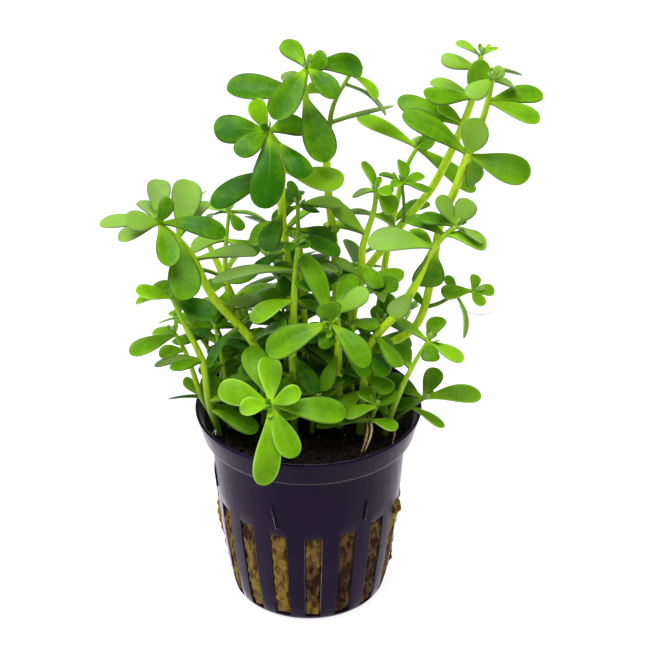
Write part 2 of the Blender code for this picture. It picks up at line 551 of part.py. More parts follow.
def make_plant(stem_material, leaf_material):
    """Every shoot: a bare lower stem and the leafy end above it."""
    shoots = shoot_list()
    routes = {name: smooth_route(route, 3.0) for name, _, route, _ in shoots}
    stems = {
        name: tree_of(lambda shape: tube(shape, routes[name], thickness + 2 * GAP, 1.0))
        for name, thickness, _, _ in shoots
    }
    blades = {name: [] for name, _, _, _ in shoots}
    for name, thickness, route, leaves in shoots:
        others = [tree for other, tree in stems.items() if other != name]
        placed = []
        for place, offset, width, turn in leaves:
            base = route[-1 - place]
            rest = [tree for other in blades if other != name for tree in blades[other]]
            found = place_leaf(base, base + offset, width, turn, blades[name], others + rest)
            if found is None:
                print("no room for a leaf of", name, "at", place, tuple(offset))
                continue
            tip, width = found
            blades[name].append(tree_of(lambda shape: blade(shape, base, tip, width, turn)))
            if width >= NARROWEST_BLADE and (tip - base).length >= SHORTEST_BLADE:
                placed.append((base, tip, width, turn))
        lowest = max(place for place, *_ in leaves)
        low_end = route[-1 - lowest]
        spots = smooth_route(route, STEM_STEP / 3)
        nearest = min(range(len(spots)), key=lambda i: (spots[i] - low_end).length)
        split = max(1, nearest - 1)
        lower = spots[:split + 1:3] if split > 3 else [spots[0], spots[split]]
        if (lower[-1] - spots[split]).length > 1e-6:
            lower.append(spots[split])
        upper = spots[split:][:: 3 if len(spots) - split > 9 else 2]
        if (upper[-1] - spots[-1]).length > 1e-6:
            upper.append(spots[-1])
        gap = (upper[1] - upper[0]).normalized() * BEND_GAP
        upper[0] = upper[0] + gap
        make_stem("stem_" + name, lower, thickness, stem_material)
        make_leaves("leaves_" + name, thickness, upper, placed, leaf_material)


def main():
    for old in list(bpy.data.objects):
        bpy.data.objects.remove(old, do_unlink=True)
    materials = {name: make_material(name) for name in MATERIALS}
    make_pot(materials["pot_plastic"])
    make_plug("wool", WOOL, materials["wool"])
    make_plug("soil", SOIL, materials["soil"])
    make_plant(materials["stem"], materials["leaf"])


main()
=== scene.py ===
"""Potted water hyssop: leaves, stems, pot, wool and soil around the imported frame.

Lengths are in millimetres unless a name or note says otherwise.
"""

import logging
import math
from dataclasses import dataclass, field
from enum import Enum

import bmesh
import bpy
import numpy as np
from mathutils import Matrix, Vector
from mathutils.bvhtree import BVHTree


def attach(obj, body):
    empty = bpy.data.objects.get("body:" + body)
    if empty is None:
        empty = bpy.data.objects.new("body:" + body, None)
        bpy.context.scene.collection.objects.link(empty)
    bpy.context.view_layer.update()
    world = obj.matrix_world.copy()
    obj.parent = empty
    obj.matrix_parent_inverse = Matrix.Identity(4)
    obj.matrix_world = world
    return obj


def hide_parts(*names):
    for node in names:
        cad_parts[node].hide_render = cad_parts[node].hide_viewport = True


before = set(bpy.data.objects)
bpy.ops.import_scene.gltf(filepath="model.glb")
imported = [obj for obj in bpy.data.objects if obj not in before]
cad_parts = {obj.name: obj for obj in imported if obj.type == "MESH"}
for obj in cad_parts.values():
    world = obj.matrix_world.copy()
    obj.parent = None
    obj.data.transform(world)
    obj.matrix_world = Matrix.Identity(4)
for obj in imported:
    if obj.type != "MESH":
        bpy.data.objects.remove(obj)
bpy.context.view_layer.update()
LOG = logging.getLogger("water_hyssop")

MM = 0.001
VIEW_HEIGHT = math.radians(30.5)
RIGHT = np.array([1.0, 0.0, 0.0])
AWAY = np.array([0.0, math.cos(VIEW_HEIGHT), -math.sin(VIEW_HEIGHT)])
UP = np.array([0.0, math.sin(VIEW_HEIGHT), math.cos(VIEW_HEIGHT)])
SKYWARD = np.array([0.0, 0.0, 1.0])
SOIL_CLEARANCE = 49.1

Array = np.ndarray
Random = np.random.Generator
Material = bpy.types.Material
Socket = bpy.types.NodeSocket
Colour = tuple[float, float, float]
Place = tuple[float, float, float]
Corners = tuple[tuple[float, float], ...]
Rows = tuple[tuple[float, ...], ...]
Strand = tuple[Place, Place, Place, float]
# The foot, tip, greatest width and turn of a leaf.
Leaf = tuple[Array, Array, float, float]

# Lower leaves that show one by one: the shoot, the height at which they leave its stem,
# and right, up, away, width and turn as in the table below.
LOW_LEAVES = [
    ("centre", 75, -4.6, -1.2, -3, 3.4, 20), ("centre", 70, -3.6, -8.4, -5, 4.6, 20),
    ("centre", 67, 3.6, -9.6, -5, 5, 15), ("right_inner", 70, -5.2, -9.8, -9, 5, 20),
    ("centre", 57, -5.6, -4.6, -4, 4.6, 25), ("centre_back", 70, 6, -8.6, -5, 5.4, 15),
    ("centre_back", 66, -3.4, -6.4, -4, 4.6, 20), ("tall_right_side", 64, 6.6, -3.6, -5, 5.2, 20),
    ("tall_right_side", 60, -7.5, -5.2, -5, 5.2, 20), ("right_inner", 62, 5.6, -6, -7, 5.2, 20),
    ("left_inner", 62, -6, -5, -4, 5.6, 20), ("left_arching", 60, 5.4, -6, -4, 5.6, 20),
    ("left_arching", 64, -9.4, -5.2, -3, 5.8, 20), ("upper_left", 64, -6, -6.4, -9, 5.6, 20),
    ("upper_left", 76, -8.2, 1.5, -9, 5, 40), ("centre_high", 62, -4.6, -6.6, -12, 5, 20),
    ("tall_right_side", 70, 6, 2, -4, 4.6, 30), ("right_dark", 62, -7.6, -6.4, -6, 5, 20),
    ("left_inner", 70, -10.1, 0.4, -2, 5.5, 45), ("left_inner", 65, -9.4, -1, -4, 6.2, 35),
    ("left_inner", 67, 6, 0.8, -3, 5, 40), ("left_inner", 80, -4.6, -1.6, -2, 4.6, 40),
    ("centre_back", 93, -13, 0.6, 4, 4.4, 55), ("tall_right", 80, -3.8, 3.6, -2, 2.8, 30),
    ("tall_right", 80, 2.6, 4, 0, 2.4, 40), ("left_inner", 60, -8, 1.5, -5, 5.5, 30),
    ("centre_back", 83, -7.5, 3, 3, 5.6, 40),
]

# Each shoot: name, thickness, how light its leaves are from 0 to 1, up to what height
# small lower leaf pairs stand on it (0 for none), the route of its stem from the soil to
# the tip, and its leaves. How light a leaf is stands partly for its own green and partly
# for painted light and shade. A leaf is (place, right, up, away, width, turn): place counts
# route points down from the tip, right, up and away say how far its tip lies from its
# node as seen from in front and 30.5 degrees above, and turn is how many degrees its
# upper face is turned from the viewer. A seventh number is how light the leaf itself is,
# and over 1 it is pale, with a painted silvery sheen.
SHOOTS = [
    ("tall_left", 2, 0.3, 112,
     [(5.9, 0.5, 49.1), (6.6, 2, 70.7), (6.6, 5, 85.5), (5.9, 7, 94.9), (4.7, 8, 105.4),
      (4.3, 8, 114.7), (2, 7, 123), (-0.8, 6, 131.5), (-0.1, 6, 138.2)],
     [(0, -5.2, 6.9, 5, 5.8, 20, 0.45), (0, 12.8, 0, 5, 6.3, 15, 0.2),
      (0, 4.7, 2.2, -3, 5.4, 10, 0.3), (0, 6.7, -7.4, -5, 6, 20, 0.2), (0, 1.9, 3, 0, 2.2, 30),
      (0, -7.6, -12.2, -6, 7.8, 10, 0.25), (1, -17.8, 1.2, -2, 8, 22, 0.15),
      (1, 5.1, -16, -4, 8.5, 15, 0.25), (1, -4, 5.8, 8, 5.2, 20, 1.1),
      (1, 4, 2, 6, 4.2, 25, 0.9)]),
    ("tall_left_side", 1.5, 0.5, 0,
     [(4.9, 9.6, 118.3), (5.2, 10, 122), (5.7, 11, 126.5), (8.7, 12, 131.1), (9.9, 12, 133.7)],
     [(0, 6.2, -6, 0, 3.8, 50, 0.85), (0, 2.5, 2.5, 3, 3, 30), (1, 9.5, -7.4, 0, 4, 80, 1.1),
      (3, 14.9, 4.4, 0, 5, 75, 1.2)]),
    ("upper_left", 1.9, 0.12, 103,
     [(-4.2, -2, 49.1), (-3.8, -2, 75.8), (-5.1, 1, 93.1), (-6.2, 1, 105.2), (-5.7, 0, 114.9),
      (-6.5, -1, 122.4), (-9, -2, 126)],
     [(0, -3.4, 7.2, 1, 5.4, 15, 0.8), (0, -12.4, 0.4, -3, 8, 15, 0.12),
      (0, -6.9, -5.9, -5, 6.2, 15, 0.2), (0, 8.8, 2, 6, 6.8, 25, 0.25),
      (0, -1.5, 0.8, -2, 2.2, 30, 0.0), (0, -1, -18, -6, 8.8, 10, 0.0),
      (1, 6.7, -7.9, -5, 6.5, 20, 0.1), (2, -16.6, -8.2, -2, 6.8, 18, 0.05),
      (2, 14.2, -2.6, -2, 7, 18, 0.95)]),
    ("centre_high", 1.6, 0.25, 98,
     [(-0.6, 3, 49.1), (-0.8, 1.6, 71.3), (-1.4, 3, 86.6), (-2.3, 4, 96.9), (-2.3, 4, 103.3)],
     [(0, -1.8, 6, 1, 4, 40, 0.3), (0, 10.5, 0.3, 3, 5.2, 45, 1.04),
      (0, 4.7, -1.8, -3, 3.5, 60), (0, -7, -5.2, -4, 5, 30, 0.1),
      (1, -11.6, -2, -1, 7, 20, 0.4), (1, 9, -3, 4, 6, 40)]),
    ("left_inner", 1.5, 0.45, 92,
     [(-11.5, 2, 49.1), (-14, 2.5, 62.4), (-18.3, 6, 73.9), (-19.9, 9, 83.2), (-19.5, 10, 90.8),
      (-18.7, 10, 98.4)],
     [(0, 2.8, -4.6, -3, 4, 40), (0, -3.3, -0.5, 4, 4, 70), (0, 9.1, -2.3, 1, 4.5, 75),
      (0, -5.4, 1.6, 4, 3.5, 30, 1.0), (1, 8, -3, -2, 5.5, 50, 1.0),
      (1, -8.5, -2.5, 1, 5.5, 50, 1.05), (3, 9, 2, -3, 5.5, 55), (3, -9, 1, 3, 5.5, 55, 1.05)]),
    ("left_arching", 2, 0.5, 78,
     [(-10.4, -4.5, 49.1), (-11.2, -6.5, 68), (-16, -6, 76.4), (-20.6, -6, 81.8),
      (-24.3, -5, 87.5), (-26.3, -5, 93.9), (-30.1, -5, 99.5), (-34.4, -6, 104.1)],
     [(0, -0.3, 10.4, 5, 6.4, 15, 1.1), (0, 2.9, 5.6, -6, 4.4, 10, 0.3),
      (0, -14, 0.2, 3, 6.5, 55, 1.06), (0, -7.6, 0.4, -6, 5.8, 20, 1.04),
      (0, -9.2, -4.1, -1, 4.8, 35, 1.05), (0, 2.6, -10.2, -6, 6.6, 20, 0.4),
      (0, 15.6, -2.6, -2, 5.9, 30, 0.15), (0, -4.7, 5.6, 7, 4.5, 30, 1.15),
      (1, 2.1, 13.9, 4, 8.2, 12, 1.06), (1, 1.7, -14.4, -6, 8.8, 12, 0.35),
      (1, 6.6, 9, 6, 5, 40, 1.2), (2, 14.4, 1.4, 2, 6, 55, 1.1), (4, 10, 2, 3, 5.5, 50, 1.1)]),
    ("left_low", 1.7, 0.6, 66,
     [(-21.2, -8.5, 49.1), (-23.3, -10, 55.7), (-24.1, -11, 62.8), (-24.7, -11, 69.9),
      (-28.3, -11, 78.4), (-31.7, -10, 86.5)],
     [(0, -8.1, 1.2, -5, 5.5, 40, 0.8), (0, -8.4, -1.6, -1, 5, 60, 0.9),
      (0, -3.7, 3.7, 4, 4.5, 30, 0.5), (0, 9.6, -4.7, -3, 6.6, 30, 0.1), (1, 5, 2, 5, 5, 40),
      (2, -11.6, -1, 1, 5, 60, 1.1), (2, -7.5, -2, -4, 5, 50, 0.45), (4, 0.5, 8.2, 3, 5, 15),
      (4, 11.4, -5, -4, 6, 35)]),
    ("left_low_side", 1.5, 0.6, 60,
     [(-22.6, -3, 49.1), (-25.6, -6, 57), (-27, -7.5, 63.6), (-29, -7.5, 70.6),
      (-31.2, -7.5, 75.1)],
     [(0, -10.6, -4.7, -3, 6.2, 42, 0.5), (0, -5.2, 1.2, 5, 5, 45, 0.8),
      (1, -6.2, -1.2, -1, 4.5, 40, 0.95), (3, -4, 4.4, -1, 3.4, 30, 1.0),
      (3, 1, 4.8, -2, 3, 30, 1.0), (3, -8, -0.7, 0, 4.5, 82, 0.1)]),
    ("front", 2, 0.5, 0,
     [(-7, -10, 49.1), (-7.2, -13.5, 56.5), (-7.5, -18, 62), (-7.9, -22, 65.3),
      (-8.6, -26, 66.8)],
     [(0, -0.5, 11.3, 6, 6.4, 10, 0.8), (0, -12, 4.2, -2, 7, 15, 0.65),
      (0, -6.9, -1.5, -5, 5.2, 35, 0.8), (0, 7.2, 3.3, -5, 5.2, 25, 0.65),
      (0, 17.5, -2, 0, 7.2, 25, 0.45), (0, 5.6, -12, -2, 6.8, 15, 0.55),
      (0, -1.9, -18.6, 0, 7, 10, 0.6), (1, -5.9, 12.9, 3, 7, 15, 0.5)]),
    ("centre", 2, 0.35, 80,
     [(7.5, -6.5, 49.1), (7.1, -8, 68.4), (7.1, -11, 78.4), (6.6, -14, 84.3), (5.2, -17.8, 84)],
     [(0, -0.4, 5, -5, 6.8, 5, 0.45), (0, -6, 16, 3, 6.5, 25, 0.45),
      (0, -14.6, -6.9, 0, 8.4, 22, 0.4), (0, 8.6, -10, -4, 6.6, 25, 0.35),
      (1, 3.8, 9.6, 8, 6.5, 20, 0.4), (1, 7.5, 5.6, -3, 5.6, 20, 1.03),
      (2, -9, -2, 5, 6, 50, 0.2)]),
    ("centre_back", 1.8, 0.35, 92,
     [(-3.4, -9.5, 49.1), (-3.6, -9, 66.2), (-3.5, -8, 76.3), (-3.2, -8, 84.5),
      (-2.9, -8, 92.5), (-2.2, -8, 99.5)],
     [(0, -2.8, -1.4, -3, 3.5, 40), (0, 2.6, -0.7, -3, 3.5, 40), (0, -6.7, -1.9, 2, 4, 60),
      (0, 2, 2.5, 3, 3, 40), (1, -19.5, -2.5, 0, 6, 55, 1.1), (1, 10, 0.5, 4, 5.5, 55, 1.1),
      (2, -9.8, -4.9, -5, 6, 45), (2, 6.5, -2, 5, 5, 50)]),
    ("right_inner", 1.9, 0.5, 92,
     [(10.2, -1, 49.1), (10.4, 0.5, 74.1), (13, 3, 83.6), (12.5, 4, 88.2), (13.5, 5, 95.2),
      (15.6, 6, 99.8), (16, 6, 106.2)],
     [(0, -2.6, 7.2, 3, 4.5, 45), (0, 4, -0.5, -3, 4, 40), (0, -5.6, -1.2, 1, 4.5, 60, 1.1),
      (0, 4.7, -4.7, 3, 6, 30), (1, 5, -2, 4, 5, 50), (1, -7, 1, 3, 4.5, 60, 1.1),
      (2, -7.8, 6.9, 0, 5.2, 35, 1.02), (2, -9.6, 3, 4, 4.6, 50, 1.0), (4, 9.8, 1.4, -3, 6, 35),
      (4, 8, -2.4, -5, 6, 30), (4, 5.6, -3.7, 4, 6, 30), (4, -6.7, 4.9, 1, 4.5, 60, 1.05)]),
    ("right_thin", 1.2, 0.45, 0,
     [(22.8, 6.9, 96.4), (22.9, 7, 98.5), (22.6, 7.5, 102), (22.2, 8, 107.1)],
     [(0, 0, 5.6, 4, 4.5, 40), (0, 5.1, 2.1, 2, 4, 40), (0, -5.6, 1.9, 1, 3.5, 65),
      (0, -2.6, -1, -3, 3, 40), (0, 6.5, -2, -1, 4, 70)]),
    ("right_back", 1.7, 0.4, 98,
     [(15, 11, 49.1), (17.5, 13, 75), (20, 13.5, 93.8), (21.8, 14, 102.2), (23.2, 15, 108.1),
      (25.8, 16, 112.4)],
     [(0, -14.3, 7.4, 0, 5.2, 30, 0.6), (0, 4.2, 1.6, -5, 5, 30, 0.3),
      (0, 14, -10, 2, 7, 40, 0.5), (0, 1, 3, 7, 4.5, 30)]),
    ("tall_right_back", 1.9, 0.5, 88,
     [(9, 6, 49.1), (10.8, 6.5, 77.3), (16.6, 8.5, 87.6), (24.4, 9, 98.7), (29, 8, 105.4),
      (33.6, 6, 117), (36, 5, 124), (38.1, 4, 131.5), (39.4, 4, 138.7), (39.7, 4, 142.2)],
     [(0, -5.8, 3, 0, 3, 50, 1.02), (0, 4, 2, 0, 2.5, 60), (1, -8.8, 2.8, -1, 4.8, 30, 1.03),
      (1, 10, -1.2, 2, 3.5, 75, 1.05), (2, 2.4, 7.9, -5, 6.4, 12, 0.5),
      (2, -9.9, 3.7, 1, 5.2, 45, 1.03), (2, -11.4, 0.5, -3, 6.5, 40, 0.45),
      (3, -15.1, 6, 0, 6.2, 30, 0.4), (3, -6, 4.4, -3, 3.6, 25, 0.9)]),
    ("tall_right", 2, 0.45, 70,
     [(14.6, -3, 49.1), (16.9, -3, 67.6), (24, -3, 72.3), (26.3, -3, 76.1), (27.7, -3, 79.7),
      (28.7, -3, 86.5), (29.6, -3, 92.1), (30.2, -3, 98.3), (31, -3, 103.3), (33.9, -4, 111),
      (36.9, -4, 120.9), (40.4, -4, 130.7), (41.2, -4, 134.5), (42, -4, 140)],
     [(0, 2.5, 2.5, -2, 3.5, 30, 1.06), (0, -5.7, -4.2, -6, 5.4, 12, 1.03),
      (0, 5.4, -1.2, 5, 4, 50, 1.06), (1, 12.8, 2.3, 1, 6.4, 35, 0.4),
      (1, 11.4, -4.9, -4, 6.5, 40, 0.5), (3, -15.1, 9.3, -3, 7.5, 30, 0.3),
      (3, 2.6, 8, -6, 7.5, 12, 1.03), (3, 14.2, -4.9, -2, 8.3, 20, 0.5),
      (3, 1.9, -6.5, 5, 6.5, 30, 0.45)]),
    ("tall_right_side", 2, 0.5, 76,
     [(12.4, -9, 49.1), (14.4, -7.5, 71.3), (19.8, -7.5, 79), (24.4, -7.5, 86.6),
      (29.2, -7.5, 98.4), (31.8, -8, 102.1), (34.3, -9, 105)],
     [(0, 5.8, -4.1, -2, 4.5, 60, 1.03), (0, -4.4, 6.7, 4, 5.5, 30, 1.04),
      (0, 3.3, 6, 2, 6, 10, 1.05), (0, -8.4, 2.4, 2, 5, 35, 0.2),
      (1, 9.3, -3.5, -3, 6.4, 40, 1.0), (1, -9, 3.6, 3, 5, 40, 0.3),
      (2, -15.3, 0.8, -3, 7.8, 30, 1.05), (2, -2, -9, 6, 8.4, 12, 0.3),
      (3, -4.7, -5.8, -4, 6, 30, 1.06), (2, -4.8, 4.6, 5, 4.8, 40, 0.9)]),
    ("right_low", 1.3, 0.6, 0,
     [(29.9, -3.4, 79.6), (32.3, -3.5, 82.4), (34.7, -3.5, 84.1), (38.7, -3, 84.2)],
     [(0, 0.9, 4, 1, 3.5, 30), (0, 5.3, 0.2, 0, 4, 35), (0, 2.3, -3.5, -2, 3.5, 30),
      (0, -7.4, -0.5, -3, 4.9, 35), (1, -1.8, 4.2, 2, 3.2, 30), (1, 1.9, -10.8, -1, 3.4, 65)]),
    ("right_front", 1.5, 0.45, 62,
     [(18.4, -9, 49.1), (21.8, -12, 62.3), (24.3, -12, 68.1), (26.6, -12, 73.3),
      (28.2, -12, 75.8)],
     [(0, 3, 5.8, 3, 5.5, 30, 0.5), (0, 0.5, -4.7, -4, 5, 20, 0.3),
      (0, 8.1, -4.7, -2, 5, 40, 0.98), (0, -7.4, 5.3, 0, 4.5, 50, 1.0), (2, -3.3, 6, 4, 6, 30)]),
    ("right_dark", 1.2, 0.3, 66,
     [(18.8, 2.5, 49.1), (17.6, 2.5, 60), (16.9, 2.5, 67.9), (17.6, 2.5, 72.9)],
     [(0, 1.6, 6.7, 2, 5, 20), (0, -2.8, 2.6, -2, 4.5, 30), (0, -5.8, -1.9, -2, 5.5, 40),
      (0, 6, -2, 3, 5, 40), (1, 8, -1, 3, 5.5, 45), (1, -8, 0.5, 3, 5.5, 45)]),
    ("right_rim", 1.5, 0.6, 0,
     [(19.8, -6, 49.1), (21.8, -6, 52), (24.4, -6, 54), (27.4, -6, 56.3)],
     [(0, 3.6, 7.3, 2, 5.2, 15, 0.35), (0, 13.9, 0.7, -2, 5.5, 30, 0.65),
      (0, -7.9, -2.6, -5, 5, 45, 0.2), (0, -9.5, 5.1, 3, 6, 30, 0.1),
      (1, 8, -4.7, -4, 3.5, 50, 0.6)]),
    ("low_right", 1.4, 0.6, 0,
     [(13.5, -12, 49.1), (15, -13, 54.5), (16.2, -13.5, 58.8)],
     [(0, -8, -2, -2, 5, 45), (0, 5, 3, 1, 5, 45), (0, -4, 4, 3, 5, 30),
      (1, -13, -1.5, -3, 5.5, 55), (1, 6, -2, -4, 4.5, 50)]),
    ("low_centre", 1.4, 0.35, 0,
     [(0.8, -8.5, 49.1), (1.4, -12, 56), (2, -14, 62.6)],
     [(0, -6, 2, 2, 6, 35), (0, 6.5, 3.5, 1, 5, 50), (0, 5, -5.5, -3, 6, 25),
      (0, -2, -6, -3, 5.5, 25), (1, -9, -1, 1, 5.5, 50), (1, 9.5, 0, 2, 5.5, 50)]),
]

# Shoots that the photo hides: name, thickness, height of the small leaf pairs, route,
# turn of the top pair and the lengths of the leaf pairs from the tip down. Each pair
# stands across the one above it.
HIDDEN_SHOOTS = [
    ("back_left", 1.8, 78,
     [(-12, 9, 49.1), (-15, 13, 63), (-20.5, 18, 76), (-25, 22, 85), (-28, 25, 91)],
     25, [6, 11, 14, 14]),
    ("back_centre", 1.9, 84,
     [(-3.5, 12, 49.1), (-4, 17, 62), (-5, 22, 74), (-6, 26, 84), (-6.5, 28, 90)],
     70, [6, 12, 14, 14]),
    ("back_right", 1.8, 76,
     [(4.5, 14, 49.1), (7, 20, 58), (10, 26, 65), (12, 31, 70), (13, 34, 73.5)],
     10, [6, 11, 12, 12]),
    ("rim_left", 1.4, 62,
     [(-18.5, 7, 49.1), (-22, 9, 57), (-26.5, 11, 64), (-31, 13, 68)], 40, [6, 11, 12]),
    ("rim_back", 1.4, 0,
     [(8, 20.5, 49.1), (9.5, 24, 57), (11, 29, 63), (12, 34, 67)], 15, [6, 11, 12]),
]


class Slot(Enum):
    """The record's material slots, one of which is logged with each new piece."""

    POT = "pot"
    WOOL = "wool"
    SOIL = "soil"
    STEMS = "stems"
    LEAVES = "leaves"


def unit(vector: Array) -> Array:
    """The vector, or each row of an array, scaled to length one."""
    return vector / np.linalg.norm(vector, axis=-1, keepdims=True)


def ease(value: Array) -> Array:
    """Zero below 0, one above 1 and 3t^2 - 2t^3 between them."""
    t = np.clip(value, 0.0, 1.0)
    return t * t * (3.0 - 2.0 * t)


def in_scene(name: str, data: bpy.types.ID) -> bpy.types.Object:
    """A new object with this mesh, light or camera, in the scene."""
    made = bpy.data.objects.new(name, data)
    bpy.context.scene.collection.objects.link(made)
    return made


@dataclass
class Surface:
    """A mesh in the making: millimetre points, faces and one number per point and name."""

    points: Array
    quads: Array
    triangles: Array = field(default_factory=lambda: np.zeros((0, 3), int))
    values: dict[str, Array] = field(default_factory=dict)

    @staticmethod
    def joined(parts: list["Surface"]) -> "Surface":
        """All the surfaces as one.

        Args:
            parts: surfaces that have the same named values.

        Returns:
            One surface, with each part's faces moved on by the points before it.
        """
        starts = np.cumsum([0] + [len(part.points) for part in parts[:-1]])
        return Surface(
            np.concatenate([part.points for part in parts]),
            np.concatenate([part.quads + start for part, start in zip(parts, starts)]),
            np.concatenate([part.triangles + start for part, start in zip(parts, starts)]),
            {name: np.concatenate([part.values[name] for part in parts])
             for name in parts[0].values},
        )

    def piece(self, name: str, material: Material, slot: Slot,
              replaces: tuple[str, ...] = ()) -> bpy.types.Object:
        """Makes the surface a piece that rides on the part's one body.

        Args:
            name: the piece's name.
            material: its material.
            slot: the record's slot, which is only logged.
            replaces: the CAD nodes that the piece stands for.

        Returns:
            The new object, at the origin, with its place in its mesh.
        """
        mesh = bpy.data.meshes.new(name)
        mesh.from_pydata(self.points * MM, [],
                         self.quads.tolist() + self.triangles.tolist())
        for label, numbers in self.values.items():
            layer = mesh.attributes.new(label, "FLOAT", "POINT")
            layer.data.foreach_set("value", np.ascontiguousarray(numbers, np.float32))
        mesh.shade_smooth()
        mesh.materials.append(material)
        made = in_scene(name, mesh)
        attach(made, "root")
        if replaces:
            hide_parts(*replaces)
        LOG.info("%s: %d points, slot %s", name, len(self.points), slot.value)
        return made


def grid_faces(rows: int, columns: int) -> Array:
    """Quads between the rows of points of a tube, stored row by row.

    Args:
        rows: number of rows.
        columns: number of points in each row.

    Returns:
        Four point numbers for each quad.
    """
    row, column = np.meshgrid(np.arange(rows - 1), np.arange(columns), indexing="ij")
    after = (column + 1) % columns
    return np.stack([row * columns + column, row * columns + after,
                     (row + 1) * columns + after, (row + 1) * columns + column],
                    -1).reshape(-1, 4)


def fan_faces(ring: Array, pole: int, flip: bool) -> Array:
    """Triangles that close a ring of point numbers onto one pole point."""
    after = np.roll(ring, -1)
    sides = [after, ring] if flip else [ring, after]
    return np.stack([*sides, np.full_like(ring, pole)], -1)


def closed_tube(rings: Array, start: Array, end: Array) -> Surface:
    """A tube through rings of points, closed by a pole point at each end.

    Args:
        rings: points as (ring, place on the ring, xyz), counter-clockwise as seen
            from the end.
        start: the pole before the first ring.
        end: the pole after the last ring.

    Returns:
        The closed surface, with the two poles as its last points.
    """
    rows, columns, _ = rings.shape
    points = np.concatenate([rings.reshape(-1, 3), [start, end]])
    first = np.arange(columns)
    last = first + (rows - 1) * columns
    count = rows * columns
    triangles = np.concatenate([fan_faces(first, count, True),
                                fan_faces(last, count + 1, False)])
    return Surface(points, grid_faces(rows, columns), triangles)


def circles_along(path: Array, radius: Array, count: int,
                  aside: Place = (0.3, 1.0, 0.1)) -> Array:
    """Circles of points across the direction of a path.

    Args:
        path: the middle of each circle.
        radius: the radius of each circle.
        count: points on each circle.
        aside: any direction well away from the path's own.

    Returns:
        Points as (circle, place on the circle, xyz).
    """
    along = unit(np.gradient(path, axis=0))
    across = unit(np.cross(along, np.array(aside)))
    other = np.cross(along, across)
    around = np.arange(count) * 2 * math.pi / count
    return path[:, None] + radius[:, None, None] * (
        np.cos(around)[None, :, None] * across[:, None]
        + np.sin(around)[None, :, None] * other[:, None])


def smooth_route(points: Array, step: float, parts: int = 8) -> Array:
    """Points about a step apart on a smooth curve through the given points.

    Each stretch is the Catmull-Rom cubic of its two ends and their neighbours:
    half of 2b + (c-a)t + (2a-5b+4c-d)t^2 + (3b-a-3c+d)t^3. The curve is then read
    off at even lengths.

    Args:
        points: the points that the curve passes through.
        step: the wanted distance between the returned points.
        parts: straight parts that each stretch is drawn with.

    Returns:
        The points of the route, with both ends kept.
    """
    ends = np.concatenate([[2 * points[0] - points[1]], points,
                           [2 * points[-1] - points[-2]]])
    a, b, c, d = (ends[i:len(ends) - 3 + i, None, :] for i in range(4))
    t = (np.arange(parts) / parts)[None, :, None]
    dense = 0.5 * (2 * b + (c - a) * t + (2 * a - 5 * b + 4 * c - d) * t ** 2
                   + (3 * b - a - 3 * c + d) * t ** 3)
    dense = np.concatenate([dense.reshape(-1, 3), points[-1:]])
    lengths = np.append(0, np.cumsum(np.linalg.norm(np.diff(dense, axis=0), axis=1)))
    wanted = np.linspace(0, lengths[-1], max(1, round(lengths[-1] / step)) + 1)
    return np.stack([np.interp(wanted, lengths, dense[:, axis]) for axis in range(3)], -1)


def leaf_frame(base: Array, tip: Array, turn: float) -> tuple[Array, Array, Array]:
    """The directions along a leaf, across it and out of its upper face.

    At a turn of 0 the face looks at the viewer; more turn tips it upward, or to
    the right on an upright leaf.

    Args:
        base: where the leaf leaves its stem.
        tip: its tip.
        turn: the turn in radians.

    Returns:
        Three unit vectors at right angles to each other.
    """
    along = unit(tip - base)
    to_viewer = unit(-AWAY + along * along.dot(AWAY))
    side = np.cross(along, to_viewer)
    if (abs(side[2]) > 0.2 and side[2] < 0) or (abs(side[2]) <= 0.2 and side[0] < 0):
        side = -side
    face = math.cos(turn) * to_viewer + math.sin(turn) * side
    return along, np.cross(along, face), face


